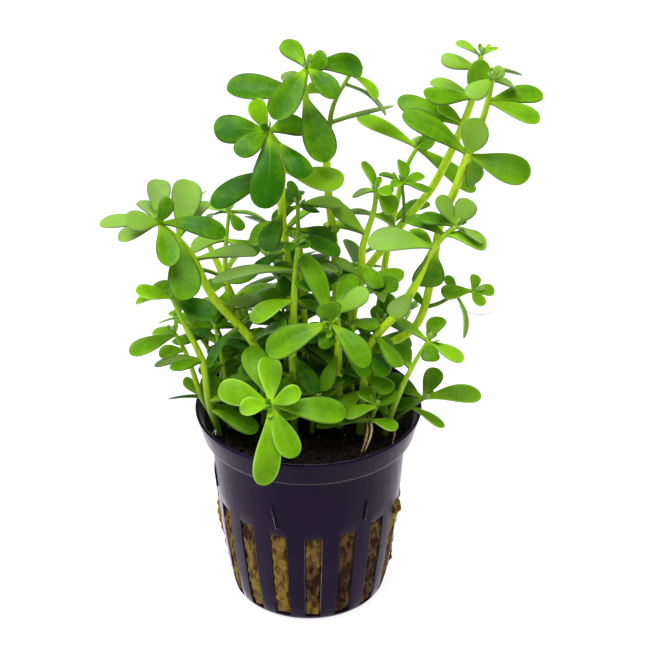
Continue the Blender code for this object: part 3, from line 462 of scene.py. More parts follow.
@dataclass(frozen=True)
class TestBlade:
    """The CAD's plain keeled blade, for finding room for each leaf.

    Attributes:
        stations: share of the length and share of the width of each section.
        margin: free space to keep all round.
        slides: distances along the line of sight that a tip may move.
        shorter: shares of the length that are tried in turn.
    """

    stations: Corners = ((0.0, 0.12), (0.36, 0.6), (0.78, 1.0))
    thickness: float = 0.7
    arch: float = 0.07
    margin: float = 0.35
    slides: tuple[int, ...] = (0, -2, 2, -4, 4, -6, 6, -8, 8)
    shorter: tuple[float, ...] = (1.0, 0.85, 0.7, 0.55)
    smallest: float = 4.0

    def tree(self, base: Array, tip: Array, width: float, turn: float,
             swell: float = 0.0, first: float = 0.0) -> BVHTree:
        """A search tree over the blade.

        Args:
            base: its foot on the stem.
            tip: its tip.
            width: its greatest width.
            turn: its turn in radians.
            swell: how much thicker than the leaf the blade is.
            first: the share of the length where the blade begins.

        Returns:
            The tree, in millimetres.
        """
        along, across, face = leaf_frame(base, tip, turn)
        length = float(np.linalg.norm(tip - base))
        points = []
        for share, wide in self.stations:
            share = max(share, first)
            middle = base + share * (tip - base)
            middle = middle + self.arch * length * math.sin(math.pi * share) * face
            half = wide * width / 2
            deep = (self.thickness + swell) / 2 * (1.3 - 0.6 * share)
            points += [middle + half * across + deep * face,
                       middle - half * across + deep * face, middle - deep * face]
        faces = [(0, 1, 2)]
        for low in (0, 3):
            for side in range(3):
                after = (side + 1) % 3
                faces.append((low + side, low + after, low + 3 + after, low + 3 + side))
        faces += [(6, 7, 9), (7, 8, 9), (8, 6, 9)]
        return BVHTree.FromPolygons([Vector(p) for p in [*points, tip]], faces)

    def place(self, base: Array, tip: Array, width: float, turn: float,
              own: list[BVHTree], others: list[BVHTree]
              ) -> tuple[Array, float] | None:
        """Finds where a leaf is clear of the stems and of the leaves before it.

        A leaf in the way swings along the line of sight, and then gets shorter.

        Args:
            base: its foot on the stem.
            tip: the tip that it would have with nothing in the way.
            width: its greatest width.
            turn: its turn in radians.
            own: the leaves of the same shoot.
            others: the leaves of other shoots, and their stems.

        Returns:
            The tip and the width, or None where there is no room.
        """
        for share in self.shorter:
            for slide in self.slides:
                end = base + share * (tip - base) + slide * AWAY
                length = float(np.linalg.norm(end - base))
                if length < self.smallest or end[2] < SOIL_CLEARANCE:
                    continue
                wide, swell = width * share + 2 * self.margin, 2 * self.margin
                reach = end + self.margin * (end - base) / length
                whole = self.tree(base, reach, wide, turn, swell)
                if any(whole.overlap(tree) for tree in others):
                    continue
                outer = self.tree(base, reach, wide, turn, swell, 0.33)
                if any(outer.overlap(tree) for tree in own):
                    continue
                return end, width * share
        return None


def stem_tree(route: Array, thickness: float) -> BVHTree:
    """A search tree over a plain five-sided stem along a route."""
    rings = circles_along(route, np.full(len(route), thickness / 2), 5)
    faces = grid_faces(len(route), 5).tolist()
    faces += [list(range(5)), list(range(len(route) * 5 - 5, len(route) * 5))]
    return BVHTree.FromPolygons([Vector(p) for p in rings.reshape(-1, 3)], faces)


@dataclass(frozen=True)
class BladeForm:
    """The shape that all the plant's leaves share.

    Attributes:
        rows: sections along the blade, of columns points each.
        slim: greatest width over the width that the shoot table gives.
        base_width: width at the stem over the greatest width.
        widest: share of the length where the blade is widest.
        shoulder: how late the blade widens, below 1 for a broad lower half.
        edge: how blunt the edges are, from 1 for a lens down to 0 for a board.
        rib: depth of the groove over the midrib.
    """

    rows: int = 22
    columns: int = 16
    slim: float = 0.9
    base_width: float = 0.15
    widest: float = 0.7
    shoulder: float = 0.82
    thickness: float = 1.15
    edge: float = 0.75
    rib: float = 0.1

    def outline(self, share: Array) -> Array:
        """Half the width over the greatest half width at each share of the length.

        A smooth step from the narrow base to the widest place, then the quarter of a
        superellipse down to the rounded tip.
        """
        rise = self.base_width + (1 - self.base_width) * ease(share / self.widest) ** self.shoulder
        fall = np.clip((share - self.widest) / (1 - self.widest), 0, 1)
        return np.where(share < self.widest, rise, (1 - fall ** 2.5) ** 0.5)

    def surface(self, base: Array, tip: Array, width: float, turn: float,
                arch: float, bend: float, twist: float, cup: float,
                tone: float) -> Surface:
        """One closed leaf.

        The middle line goes from base to tip, raised by arch and moved sideways by
        bend as a half sine. Round each section the half width times cos u runs
        across, and half the thickness times a power of sin u stands out of the face,
        so the edges are blunt and round. They rise by the cup with the square of their
        distance from the middle.

        Args:
            base: its foot on the stem.
            tip: its tip.
            width: its greatest width.
            turn: the turn of its face in radians.
            arch: rise of the middle over the length.
            bend: sideways bend over the length.
            twist: turn of the tip against the base in radians.
            cup: how far the edges rise, over the width.
            tone: 0 for a dark leaf and 1 for a light one.

        Returns:
            The leaf with its place across, along, underside and tone at each point.
        """
        along, across, face = leaf_frame(base, tip, turn)
        length = float(np.linalg.norm(tip - base))
        share = np.sin(np.linspace(0, math.pi / 2, self.rows + 1)[:-1]) ** 1.15
        around = -np.arange(self.columns) * 2 * math.pi / self.columns
        half = self.outline(share)[:, None] * self.slim * width / 2
        swing = twist * share[:, None, None]
        sideways = np.cos(swing) * across + np.sin(swing) * face
        outward = np.cos(swing) * face - np.sin(swing) * across
        place = np.cos(around)[None, :]
        stand = np.sign(np.sin(around)) * np.abs(np.sin(around)) ** self.edge
        stand = stand[None, :]
        thick = self.thickness * (1 - 0.45 * share) * np.sqrt(1 - share ** 6)
        thick = thick * min(1.0, width / 5)
        rise = cup * width * (half / (width / 2)) * place ** 2
        groove = self.rib * np.exp(-(place / 0.12) ** 2) * (stand > 0) * (1 - share[:, None])
        height = stand * thick[:, None] / 2 + rise - groove
        wave = np.sin(math.pi * share)[:, None]
        middle = (base + share[:, None] * (tip - base) + arch * length * wave * face
                  + bend * length * wave * across)
        points = (middle[:, None] + (half * place)[..., None] * sideways
                  + height[..., None] * outward)
        made = closed_tube(points, middle[0], tip)
        ends = np.array([0.0, 1.0])
        flat = np.ones_like(half * place)
        made.values = {
            "across": np.append((place * flat).ravel(), [0, 0]),
            "along": np.append((share[:, None] * flat).ravel(), ends),
            "under": np.append(((stand < -0.01) * flat).ravel(), [0, 0]),
            "tone": np.full(len(made.points), tone),
        }
        return made


@dataclass(frozen=True)
class StemForm:
    """The shape that all the stems share.

    Attributes:
        young: length of the thinner young end.
        tip_share: thickness at the very tip over the stem's own.
        swelling: how much thicker the stem is at its leaf nodes.
        soft: how far its bends are rounded, in sections each way.
        dome: height of its rounded end over its radius there.
    """

    columns: int = 12
    step: float = 0.8
    young: float = 22.0
    tip_share: float = 0.62
    swelling: float = 0.09
    soft: int = 5
    dome: float = 0.8

    def rounded(self, path: Array) -> Array:
        """The path with each inner point at the mean of its neighbours, both ends kept."""
        reach = self.soft
        ends = np.concatenate([2 * path[:1] - path[reach:0:-1], path,
                               2 * path[-1:] - path[-2:-reach - 2:-1]])
        sums = np.cumsum(np.concatenate([np.zeros((1, 3)), ends]), axis=0)
        return (sums[2 * reach + 1:] - sums[:-2 * reach - 1]) / (2 * reach + 1)

    def surface(self, route: Array, thickness: float, nodes: Array) -> Surface:
        """One closed stem.

        The radius is half the thickness, less toward the young end, plus a bell curve
        at each leaf node. Sections are circles across the direction of the route.

        Args:
            route: the points that the stem passes through, from its foot.
            thickness: its thickness.
            nodes: the points where leaves leave it.

        Returns:
            The stem with its place around, its length and its age at each point.
        """
        path = self.rounded(smooth_route(route, self.step, 24))
        lengths = np.append(0, np.cumsum(np.linalg.norm(np.diff(path, axis=0), axis=1)))
        young = ease((lengths - lengths[-1] + self.young) / self.young)
        apart = np.linalg.norm(path[:, None] - nodes[None], axis=-1)
        swell = self.swelling * np.exp(-(apart / (0.55 * thickness)) ** 2).max(axis=1)
        radius = thickness / 2 * (1 - (1 - self.tip_share) * young + swell)
        ahead = unit(np.gradient(path, axis=0))[-1]
        end = path[-1] + ahead * radius[-1] * self.dome
        made = closed_tube(circles_along(path, radius, self.columns), path[0], end)
        around = np.arange(self.columns) * 2 * math.pi / self.columns
        flat = np.ones((len(path), self.columns))
        turned = np.abs(np.sin(around / 2 + 0.4))[None] * flat
        made.values = {
            "around": np.append(turned.ravel(), [0, 0]),
            "along": np.append((lengths[:, None] * flat).ravel(), [0.0, lengths[-1]]),
            "young": np.append((young[:, None] * flat).ravel(), [0.0, 1.0]),
            "node": np.append((swell[:, None] / self.swelling * flat).ravel(), [0, 0]),
        }
        return made


@dataclass
class Shoot:
    """One rooted shoot or side branch: its stem and its pairs of leaves.

    Attributes:
        name: its name, as in the CAD nodes stem_NAME and leaves_NAME.
        route: the points that the stem passes through, from its foot.
        leaves: the leaves as wanted.
        tone: 0 for dark leaves and 1 for light ones.
        leafy: up to what height small lower leaf pairs stand on it.
        own_tones: the tones of single leaves, by their number.
        placed: the leaves that have found room, each with its number.
    """

    name: str
    thickness: float
    route: Array
    leaves: list[Leaf]
    tone: float
    leafy: float = 0
    own_tones: dict[int, float] = field(default_factory=dict)
    placed: list[tuple[Array, Array, float, float, int]] = field(default_factory=list)

    def foot(self, others: list["Shoot"], sunk: float = 2.0) -> Array:
        """Where the stem starts: in the soil, or in the middle of the stem it leaves.

        Args:
            others: the other shoots.
            sunk: how far a rooted stem goes down into the soil.

        Returns:
            The point before the first point of the route.
        """
        if self.route[0][2] < SOIL_CLEARANCE + 1:
            return self.route[0] - [0.0, 0.0, sunk]
        near = np.concatenate([smooth_route(shoot.route, 0.5) for shoot in others])
        return near[np.linalg.norm(near - self.route[0], axis=1).argmin()]

    def settle(self, test: TestBlade, taken: list[BVHTree]) -> list[BVHTree]:
        """Gives each leaf its room, in order, and drops those that have none.

        Args:
            test: the plain blade that stands for a leaf.
            taken: the search trees of all that may be in the way.

        Returns:
            The search trees of the leaves.
        """
        own: list[BVHTree] = []
        for number, (base, tip, width, turn) in enumerate(self.leaves):
            found = test.place(base, tip, width, turn, own, taken)
            if found is not None:
                own.append(test.tree(base, *found, turn))
                self.placed.append((base, *found, turn, number))
        return own

    def buds(self, random: Random) -> list[Surface]:
        """The tight little pairs at the very tip of the shoot.

        Args:
            random: source of small differences.

        Returns:
            One surface for each little leaf.
        """
        along = unit(self.route[-1] - self.route[-2])
        side = unit(np.cross(along, np.array([0.2, 1.0, 0.3])))
        front = np.cross(along, side)
        made = []
        for pair, (length, spread) in enumerate(((3.4, 0.75), (2.4, 0.45), (1.5, 0.25))):
            start = random.uniform(0, math.pi) if pair == 0 else start + math.pi / 2
            for angle in (start, start + math.pi):
                out = math.cos(angle) * side + math.sin(angle) * front
                base = self.route[-1] + along * (0.2 + 0.35 * pair)
                tip = base + length * (math.cos(spread) * along + math.sin(spread) * out)
                made.append(BladeForm(rows=8, columns=8).surface(
                    base, tip, length * 0.5, self.inward_turn(base, tip, -out),
                    -0.12, 0.0, 0.0, 0.15, min(1.0, self.tone + 0.35)))
        return made

    @staticmethod
    def inward_turn(base: Array, tip: Array, inward: Array) -> float:
        """The turn at which a leaf's upper face looks along the given direction."""
        _, _, face = leaf_frame(base, tip, 0.0)
        _, _, level = leaf_frame(base, tip, math.pi / 2)
        return math.atan2(float(inward.dot(level)), float(inward.dot(face)))

    def foliage(self, form: BladeForm, random: Random, budded: bool = True) -> Surface:
        """All the leaves of the shoot as one surface.

        Args:
            form: the shape that the leaves share.
            random: source of small differences.
            budded: whether the shoot's tip bears its buds.

        Returns:
            The joined leaves and buds.
        """
        made = []
        for base, tip, width, turn, number in self.placed:
            arch, bend, twist, cup, tone = random.uniform(
                (0.02, -0.04, -0.2, -0.12, -0.25), (0.13, 0.04, 0.2, 0.2, 0.25))
            tone = self.own_tones.get(number, float(np.clip(self.tone + tone, 0, 1)))
            made.append(form.surface(base, tip, width, turn, arch, bend, twist, cup, tone))
        return Surface.joined(made + (self.buds(random) if budded else []))

    def stem(self, form: StemForm, others: list["Shoot"]) -> Surface:
        """The whole stem, from its foot to the bud.

        Args:
            form: the shape that the stems share.
            others: the other shoots, for a side branch's foot.

        Returns:
            The stem's surface.
        """
        nodes = np.array([base for base, *_ in self.placed])
        whole = np.concatenate([[self.foot(others)], self.route])
        return form.surface(whole, self.thickness, nodes)


@dataclass
class Plant:
    """Every shoot, with the leaves kept clear of each other.

    Attributes:
        hidden_tone: how light the leaves of a hidden shoot are.
        pair_rise: how far the leaves of a hidden shoot rise, in radians.
        hidden_width: width over length of the leaves of a hidden shoot.
    """

    hidden_tone: float = 0.45
    seed: int = 11
    pair_rise: float = math.radians(28)
    hidden_width: float = 0.46

    def hidden_leaves(self, route: Array, first_turn: float, lengths: list[float]
                      ) -> list[Leaf]:
        """Leaf pairs for a shoot that the photo hides, each across the one above it.

        Args:
            route: the points that the stem passes through.
            first_turn: direction of the top pair in degrees.
            lengths: leaf length of each pair from the tip down.

        Returns:
            The leaves.
        """
        leaves = []
        for place, length in enumerate(lengths):
            base = route[-1 - place]
            stem = unit(base - route[-2 - place])
            side = unit(np.cross(stem, SKYWARD))
            front = np.cross(side, stem)
            angle = math.radians(first_turn + 90 * place)
            out = math.cos(angle) * side + math.sin(angle) * front
            for sign in (1, -1):
                tip = base + length * (math.cos(self.pair_rise) * sign * out
                                       + math.sin(self.pair_rise) * stem)
                leaves.append((base, tip, max(3.0, self.hidden_width * length),
                               Shoot.inward_turn(base, tip, stem)))
        return leaves

    def shoots(self) -> list[Shoot]:
        """Every shoot with its leaves as wanted, before they have their room."""
        made = []
        for name, thickness, tone, leafy, points, table in SHOOTS:
            route = np.array(points, float)
            leaves, own = [], {}
            for number, (place, right, up, away, width, turn, *light) in enumerate(table):
                base = route[-1 - place]
                tip = base + right * RIGHT + up * UP + away * AWAY
                leaves.append((base, tip, width, math.radians(turn)))
                own.update((number, value) for value in light)
            made.append(Shoot(name, thickness, route, leaves, tone, leafy, own))
        for name, thickness, leafy, points, first_turn, lengths in HIDDEN_SHOOTS:
            route = np.array(points, float)
            leaves = self.hidden_leaves(route, first_turn, lengths)
            made.append(Shoot(name, thickness, route, leaves, self.hidden_tone, leafy))
        return made

    def make_room(self, shoots: list[Shoot], gap: float = 0.3
                  ) -> tuple[dict[str, BVHTree], dict[str, list[BVHTree]]]:
        """Gives the leaves of every shoot their room.

        Args:
            shoots: the shoots, whose placed leaves are filled in.
            gap: free space round a stem.

        Returns:
            The search trees of the stems and of the leaves, by shoot.
        """
        stems = {shoot.name: stem_tree(smooth_route(shoot.route, 3.0),
                                       shoot.thickness + 2 * gap) for shoot in shoots}
        blades: dict[str, list[BVHTree]] = {}
        for shoot in shoots:
            others = [tree for name, tree in stems.items() if name != shoot.name]
            others += [tree for trees in blades.values() for tree in trees]
            blades[shoot.name] = shoot.settle(TestBlade(), others)
        return stems, blades

    def build(self, leaf: Material, stem: Material) -> None:
        """Makes two pieces for each shoot, its leaves and its stem.

        Args:
            leaf: the leaves' material.
            stem: the stems' material.
        """
        shoots = self.shoots()
        stems, blades = self.make_room(shoots)
        random = np.random.default_rng(self.seed)
        for shoot in shoots:
            shoot.foliage(BladeForm(), random).piece(
                "foliage_" + shoot.name, leaf, Slot.LEAVES, ("leaves_" + shoot.name,))
            others = [other for other in shoots if other is not shoot]
            shoot.stem(StemForm(), others).piece(
                "stalk_" + shoot.name, stem, Slot.STEMS, ("stem_" + shoot.name,))
        leaves = [tree for trees in blades.values() for tree in trees]
        middles, young = Undergrowth().shoots(shoots, stems, leaves)
        small = BladeForm(rows=8, columns=8)
        half = len(middles) // 2
        for number, group in enumerate((middles[:half], middles[half:], young)):
            Surface.joined([shoot.foliage(small, random, shoot in young)
                            for shoot in group]).piece(
                f"inner_foliage_{number}", leaf, Slot.LEAVES)
        Surface.joined([shoot.stem(StemForm(columns=8, step=1.6, soft=2), [])
                        for shoot in young]).piece("inner_stalks", stem, Slot.STEMS)


@dataclass
class Undergrowth:
    """The small leaves that the CAD leaves out: young shoots and lower leaf pairs.

    Attributes:
        spread: greatest distance of a foot from the pot's axis.
        heights: least and greatest height of a tip above the soil.
        lean: greatest distance that a tip leans outward.
        spacing: distance between two pairs of leaves.
        leafy_bottom: least height of the lower leaf pairs of the tall shoots.
        lengths: leaf length at a young tip, and lower down.
        rises: least and greatest angle of a lower leaf above its stem's level.
        front_limit: how far forward a foot or a low leaf tip may be.
        low_limit: height below which a leaf tip counts as low.
        low_reach: how far from the pot's axis a low leaf tip may be.
        clearings: right, up and radius of the gaps that stay open between the shoots
            as seen from in front and 30.5 degrees above.
        golden_turn: turn from one young shoot's foot to the next in radians.
    """

    count: int = 130
    spread: float = 21.0
    heights: tuple[float, float] = (9.0, 52.0)
    lean: float = 12.0
    thickness: float = 1.2
    spacing: float = 5.0
    leafy_bottom: float = 49.0
    lengths: tuple[float, float] = (7.5, 13.5)
    rises: tuple[float, float] = (-0.35, 0.45)
    front_limit: float = -8.0
    low_limit: float = 64.0
    low_reach: float = 25.0
    clearings: tuple[Place, ...] = (
        (1.6, 88.6, 3.2), (9.5, 85.8, 2.4), (20.9, 78.6, 3.6), (15.2, 67.2, 2.6),
        (22.6, 63.1, 3.0), (-14.3, 86.9, 2.4), (-17.2, 78.9, 2.0), (-18.1, 91.2, 2.0),
        (25.7, 49.6, 2.5), (-3.8, 99.6, 2.0), (2.3, 94.8, 2.0), (-34.1, 65.0, 3.0))
    # Tones of the young shoots' leaves, kept low so that the plant's middle is darker: partly
    # painted shade.
    tones: tuple[float, float] = (0.0, 0.4)
    test: TestBlade = TestBlade(margin=0.1, slides=(0, -2, 2, -4, 4, 6),
                                shorter=(1.0, 0.8, 0.6))
    golden_turn: float = 2.399963
    seed: int = 77

    def route(self, place: int, random: Random) -> Array:
        """The points of a stem: a foot on a sunflower spiral, and a tip leaning outward.

        Args:
            place: number of the shoot.
            random: source of small differences.

        Returns:
            Points about one leaf spacing apart, from the foot.
        """
        radius = self.spread * math.sqrt((place + 0.5) / self.count)
        angle = place * self.golden_turn + random.uniform(-0.2, 0.2)
        way = np.array([math.cos(angle), math.sin(angle), 0.0])
        aside = np.array([-way[1], way[0], 0.0])
        share = 1.0 - 0.6 * radius / self.spread
        low, high = self.heights
        height = low + (high - low) * share * random.uniform(0.4, 1.0)
        tip = (radius * way + self.lean * random.uniform(0.2, 1.0) * way
               + random.uniform(-5, 5) * aside)
        steps = np.linspace(0, 1, max(3, int(height / self.spacing) + 1))[:, None]
        foot = radius * way
        ground = foot + (tip - foot) * steps ** 1.6
        return ground + np.array([0, 0, SOIL_CLEARANCE]) + steps * [0, 0, height]

    def pair(self, base: Array, stem: Array, angle: float, young: bool,
             random: Random
             ) -> list[Leaf]:
        """Two leaves on opposite sides of a stem.

        Args:
            base: where they leave the stem.
            stem: the stem's direction there.
            angle: their turn about the stem in radians.
            young: whether they are the small steep pair at a tip.
            random: source of small differences.

        Returns:
            The leaves.
        """
        side = unit(np.cross(stem, np.array([0.1, 0.2, 1.0])))
        front = np.cross(side, stem)
        leaves = []
        for sign in (1, -1):
            turn = angle + random.uniform(-0.25, 0.25)
            out = sign * (math.cos(turn) * side + math.sin(turn) * front)
            rise = random.uniform(0.4, 0.9) if young else random.uniform(*self.rises)
            size = self.lengths[0 if young else 1] * random.uniform(0.75, 1.12)
            tip = base + size * (math.cos(rise) * out + math.sin(rise) * stem)
            leaves.append((base, tip, size * random.uniform(0.46, 0.58),
                           Shoot.inward_turn(base, tip, stem)))
        return leaves

    def along(self, route: Array, young: bool, random: Random) -> list[Leaf]:
        """Leaf pairs at every point of a route but the first, each across the last one.

        Args:
            route: the stem's points.
            young: whether the last point is a young tip.
            random: source of small differences.

        Returns:
            The leaves, from the top down.
        """
        first = random.uniform(0, math.pi)
        leaves = []
        for place in range(len(route) - 1):
            stem = unit(route[-1 - place] - route[-2 - place])
            leaves += self.pair(route[-1 - place], stem, first + place * math.pi / 2,
                                young and place == 0, random)
        return leaves

    def hosts(self, tall: list[Shoot], random: Random) -> list[Shoot]:
        """The tall shoots' leafy middles, as shoots of their own.

        Args:
            tall: the tall shoots.
            random: source of small differences.

        Returns:
            The new shoots.
        """
        made = []
        for shoot in tall:
            if not shoot.leafy:
                continue
            path = smooth_route(shoot.route, self.spacing)
            path = path[(path[:, 2] > self.leafy_bottom) & (path[:, 2] < shoot.leafy)]
            # The leafy middles take darker leaves than the tips: painted shade low in the plant.
            tone = shoot.tone * random.uniform(0.4, 0.9)
            made.append(Shoot(shoot.name, shoot.thickness, path,
                              self.along(path, False, random), tone))
        return made

    def low_leaves(self, tall: list[Shoot]) -> list[Shoot]:
        """The lower leaves that are listed one by one, each as a shoot of its own.

        Args:
            tall: the tall shoots.

        Returns:
            The new shoots.
        """
        named = {shoot.name: shoot for shoot in tall}
        made = []
        for name, height, right, up, away, width, turn in LOW_LEAVES:
            shoot = named[name]
            path = smooth_route(shoot.route, 1.0)
            base = path[np.abs(path[:, 2] - height).argmin()]
            tip = base + right * RIGHT + up * UP + away * AWAY
            # The lower leaves are a little darker than their shoot's: painted shade low in the
            # plant.
            made.append(Shoot(name, shoot.thickness, path,
                              [(base, tip, width, math.radians(turn))], shoot.tone * 0.8))
        return made

    def shoots(self, tall: list[Shoot], stems: dict[str, BVHTree],
               blades: list[BVHTree]) -> tuple[list[Shoot], list[Shoot]]:
        """The leafy middles and the young shoots, with the leaves that find room.

        Args:
            tall: the shoots of the CAD.
            stems: the search trees of their stems.
            blades: the search trees of their leaves.

        Returns:
            The leafy middles, and the young shoots.
        """
        random = np.random.default_rng(self.seed)
        low, middles, young = self.low_leaves(tall), self.hosts(tall, random), []
        taken = list(blades) + list(stems.values())
        for shoot in low:
            others = [tree for tree in taken if tree is not stems[shoot.name]]
            taken = taken + self.settle(shoot, others)
        for place in range(self.count):
            route = self.route(place, random)
            leaves = self.along(route, True, random)
            tone = random.uniform(*self.tones)
            stem = stem_tree(smooth_route(route, 3.0), self.thickness)
            if (route[:, 1].min() < self.front_limit or self.shows(route, self.thickness)
                    or any(map(stem.overlap, taken))):
                continue
            shoot = Shoot(f"young_{place}", self.thickness, route, leaves, tone)
            taken = taken + self.settle(shoot, taken) + [stem]
            if shoot.placed:
                young.append(shoot)
        for shoot in middles:
            others = [tree for tree in taken if tree is not stems[shoot.name]]
            taken = taken + self.settle(shoot, others)
        middles = [shoot for shoot in low + middles if shoot.placed]
        LOG.info("undergrowth: %d young shoots, %d leaves", len(young),
                 sum(len(shoot.placed) for shoot in middles + young))
        return middles, young

    def shows(self, points: Array, width: float) -> bool:
        """Whether something this wide along the points shows in one of the clearings."""
        seen = np.stack([points @ RIGHT, points @ UP], -1)
        gaps = np.array(self.clearings)
        apart = np.linalg.norm(seen[:, None] - gaps[None, :, :2], axis=-1)
        return bool((apart < gaps[:, 2] + width / 3).any())

    def settle(self, shoot: Shoot, taken: list[BVHTree]) -> list[BVHTree]:
        """Settles the leaves of a shoot that may stay and returns their search trees."""
        shoot.leaves = [leaf for leaf in shoot.leaves if self.may_stay(*leaf[:3])]
        return shoot.settle(self.test, taken)

    def may_stay(self, base: Array, tip: Array, width: float) -> bool:
        """Whether a leaf keeps off the pot's front and rim and out of the clearings."""
        low = tip[2] < self.low_limit and (tip[1] < 2 * self.front_limit
                                           or math.hypot(*tip[:2]) > self.low_reach)
        return not low and not self.shows(np.linspace(base, tip, 6), width)


def turned(profile: Array, angles: Array) -> Array:
    """The rings that a profile of (radius, height) makes at each angle about +Z."""
    around = np.stack([np.cos(angles), np.sin(angles), np.zeros_like(angles)], -1)
    return (profile[:, None, :1] * around[None]
            + profile[:, None, 1:] * SKYWARD)


@dataclass
class NetPot:
    """The slotted pot: base disc, tapered wall, step and flared collar.

    Attributes:
        slot_turn: how far right of the front the first slot lies, in radians.
        shares: place of each column of points, in shares of the distance from one
            slot to the next; the first half of them are on the slot.
        slot_top: height of the slots' upper ends at the front and the back.
        slot_rise: how much higher they are at the sides.
        rise_ends: heights where the wall's points stop following that rise.
        foot: radius and height of the rounded edge of the base.
        floor: radius and height of two places on the floor inside.
        outer: radius and height of the wall's outer corners, from the base up.
        collar: radius and height of the collar's corners, outside then inside.
        collar_line: the places in collar of its shaded lower edge.
        marks: turn and height of each end of the raised mould marks.
    """

    slots: int = 16
    slot_turn: float = math.radians(3.2)
    shares: tuple[float, ...] = (0.0, 0.02, 0.14, 0.25, 0.36, 0.48,
                                 0.5, 0.52, 0.64, 0.75, 0.86, 0.98)
    slot_top: float = 26.4
    slot_rise: float = 1.7
    rise_ends: tuple[float, float] = (10.0, 43.4)
    wall: float = 1.0
    foot: Corners = ((16.6, 0.0), (17.25, 0.12), (17.9, 0.7))
    floor: Corners = ((17.4, 1.2), (16.6, 1.2))
    outer: Corners = (
        (18.5, 1.6), (19.3, 4.5), (20.2, 10), (21.3, 17), (22.0, 23), (22.3, 26.4),
        (22.6, 30), (23.2, 38), (23.6, 43.4))
    collar: Corners = (
        (23.75, 44.2), (24.2, 44.38), (25.2, 44.4), (25.5, 44.45), (25.65, 44.65),
        (25.8, 45.2), (26.6, 48.2), (27.3, 50.5), (27.35, 50.85), (27.1, 51.0),
        (26.75, 50.95), (26.45, 50.6), (25.6, 48.2), (24.8, 46.0), (24.4, 45.6),
        (22.8, 45.4))
    collar_line: tuple[int, int] = (3, 5)
    marks: tuple[Corners, ...] = (
        ((-22.3, 36.4), (-19.2, 29.3)), ((37.8, 35.8), (36.2, 29.8)),
        ((-79.0, 37.6), (-76.0, 31.3)), ((141.0, 36.2), (143.0, 29.6)),
        ((-140.0, 36.0), (-142.0, 29.8)))
    mark_radius: float = 0.42
    bevel: float = 0.13

    @property
    def columns(self) -> int:
        """Number of columns of points from one slot to the next."""
        return len(self.shares)

    @property
    def angles(self) -> Array:
        """The angle of every column, the first at the left edge of the first slot."""
        pitch = 2 * math.pi / self.slots
        first = self.slot_turn - math.pi / 2 - pitch / 4
        places = np.arange(self.slots)[:, None] + np.array(self.shares)
        return first + pitch * places.ravel()

    def surface(self) -> Surface:
        """The pot as one closed wall with open slots.

        The profile runs from the middle of the base up the outside, over the collar
        and down the inside to the middle of the floor, and is turned about +Z. Points
        near the slots' tops rise with the sine of their turn from the front. Quads
        join the two walls round each slot, in place of the faces on it.
        """
        outer = np.array(self.outer)
        inner = outer[::-1] - [self.wall, 0]
        profile = np.concatenate([self.foot, outer, self.collar, inner, self.floor])
        count = self.slots * self.columns
        rings = turned(profile, self.angles)
        low_end, high_end = self.rise_ends
        follow = np.interp(profile[:, 1], (low_end, self.slot_top, high_end), (0, 1, 0))
        rings[..., 2] += self.slot_rise * follow[:, None] * np.abs(np.cos(self.angles))
        made = closed_tube(rings, np.zeros(3), self.floor[0][1] * SKYWARD)
        low = len(self.foot)
        high = low + [z for _, z in self.outer].index(self.slot_top)
        last = len(profile) - len(self.floor) - 1
        inner_low, inner_high = last, last - (high - low)
        row, column = np.divmod(np.arange(len(made.quads)), count)
        slotted = (column % self.columns) < self.columns // 2
        hole = ((row >= low) & (row < high)) | ((row >= inner_high) & (row < inner_low))
        made.quads = np.concatenate([made.quads[~(hole & slotted)],
                                     self.slot_sides(low, high, inner_low, count)])
        # The edge value: 1 along the slots' sides and 0.6 along their ends, where the material
        # paints a highlight, and -0.6 on the collar's lower edge, where it paints shade.
        edge = np.zeros((len(profile), self.slots, self.columns))
        half = self.columns // 2
        edge[low:high + 1, :, [0, half]] = 1.0
        edge[[low, high], :, :half + 1] = 0.6
        start = low + len(outer)
        edge[start + self.collar_line[0]:start + self.collar_line[1]] = -0.6
        made.values = {"edge": np.append(edge.ravel(), [0, 0])}
        return made

    def slot_sides(self, low: int, high: int, inner_low: int, count: int) -> Array:
        """The quads that join the outer and the inner wall round each slot.

        Args:
            low: the row at the slots' lower ends, outside.
            high: the row at their upper ends.
            inner_low: the row at their lower ends, inside.
            count: points in each row.

        Returns:
            The quads.
        """
        starts = np.arange(self.slots) * self.columns
        sides = []
        for edge, flip in ((0, True), (self.columns // 2, False)):
            for row in range(low, high):
                inside = inner_low - (row - low)
                corners = [row * count + starts + edge, (row + 1) * count + starts + edge,
                           (inside - 1) * count + starts + edge,
                           inside * count + starts + edge]
                sides.append(np.stack(corners[::-1] if flip else corners, -1))
        for row, inside, flip in ((low, inner_low, False),
                                  (high, inner_low - (high - low), True)):
            for step in range(self.columns // 2):
                corners = [row * count + starts + step, row * count + starts + step + 1,
                           inside * count + starts + step + 1,
                           inside * count + starts + step]
                sides.append(np.stack(corners[::-1] if flip else corners, -1))
        return np.concatenate(sides)

    def mould_marks(self) -> Surface:
        """The slim raised marks on the wall, each a tapered bar half sunk in it."""
        ends = np.array(self.marks)
        turn, height = np.radians(ends[..., 0]), ends[..., 1]
        radius = np.interp(height, [z for _, z in self.outer], [r for r, _ in self.outer])
        places = np.stack([radius * np.sin(turn), -radius * np.cos(turn), height], -1)
        none = np.zeros((len(ends), 3))
        return strands(places[:, 0], places[:, 1], none,
                       np.full(len(ends), self.mark_radius), 14, 10, (0.1, 1.0))

    def build(self, plastic: Material) -> None:
        """Makes the pot, with a fine bevel on its edges, and its mould marks.

        Args:
            plastic: its material.
        """
        pot = self.surface().piece("net_pot", plastic, Slot.POT, ("pot",))
        bevel = pot.modifiers.new("edges", "BEVEL")
        bevel.width = self.bevel * MM
        bevel.segments = 2
        bevel.limit_method = "ANGLE"
        bevel.angle_limit = math.radians(50)
        bevel.harden_normals = False
        marks = self.mould_marks()
        marks.values = {"edge": np.full(len(marks.points), -1.0)}
        marks.piece("mould_marks", plastic, Slot.POT)


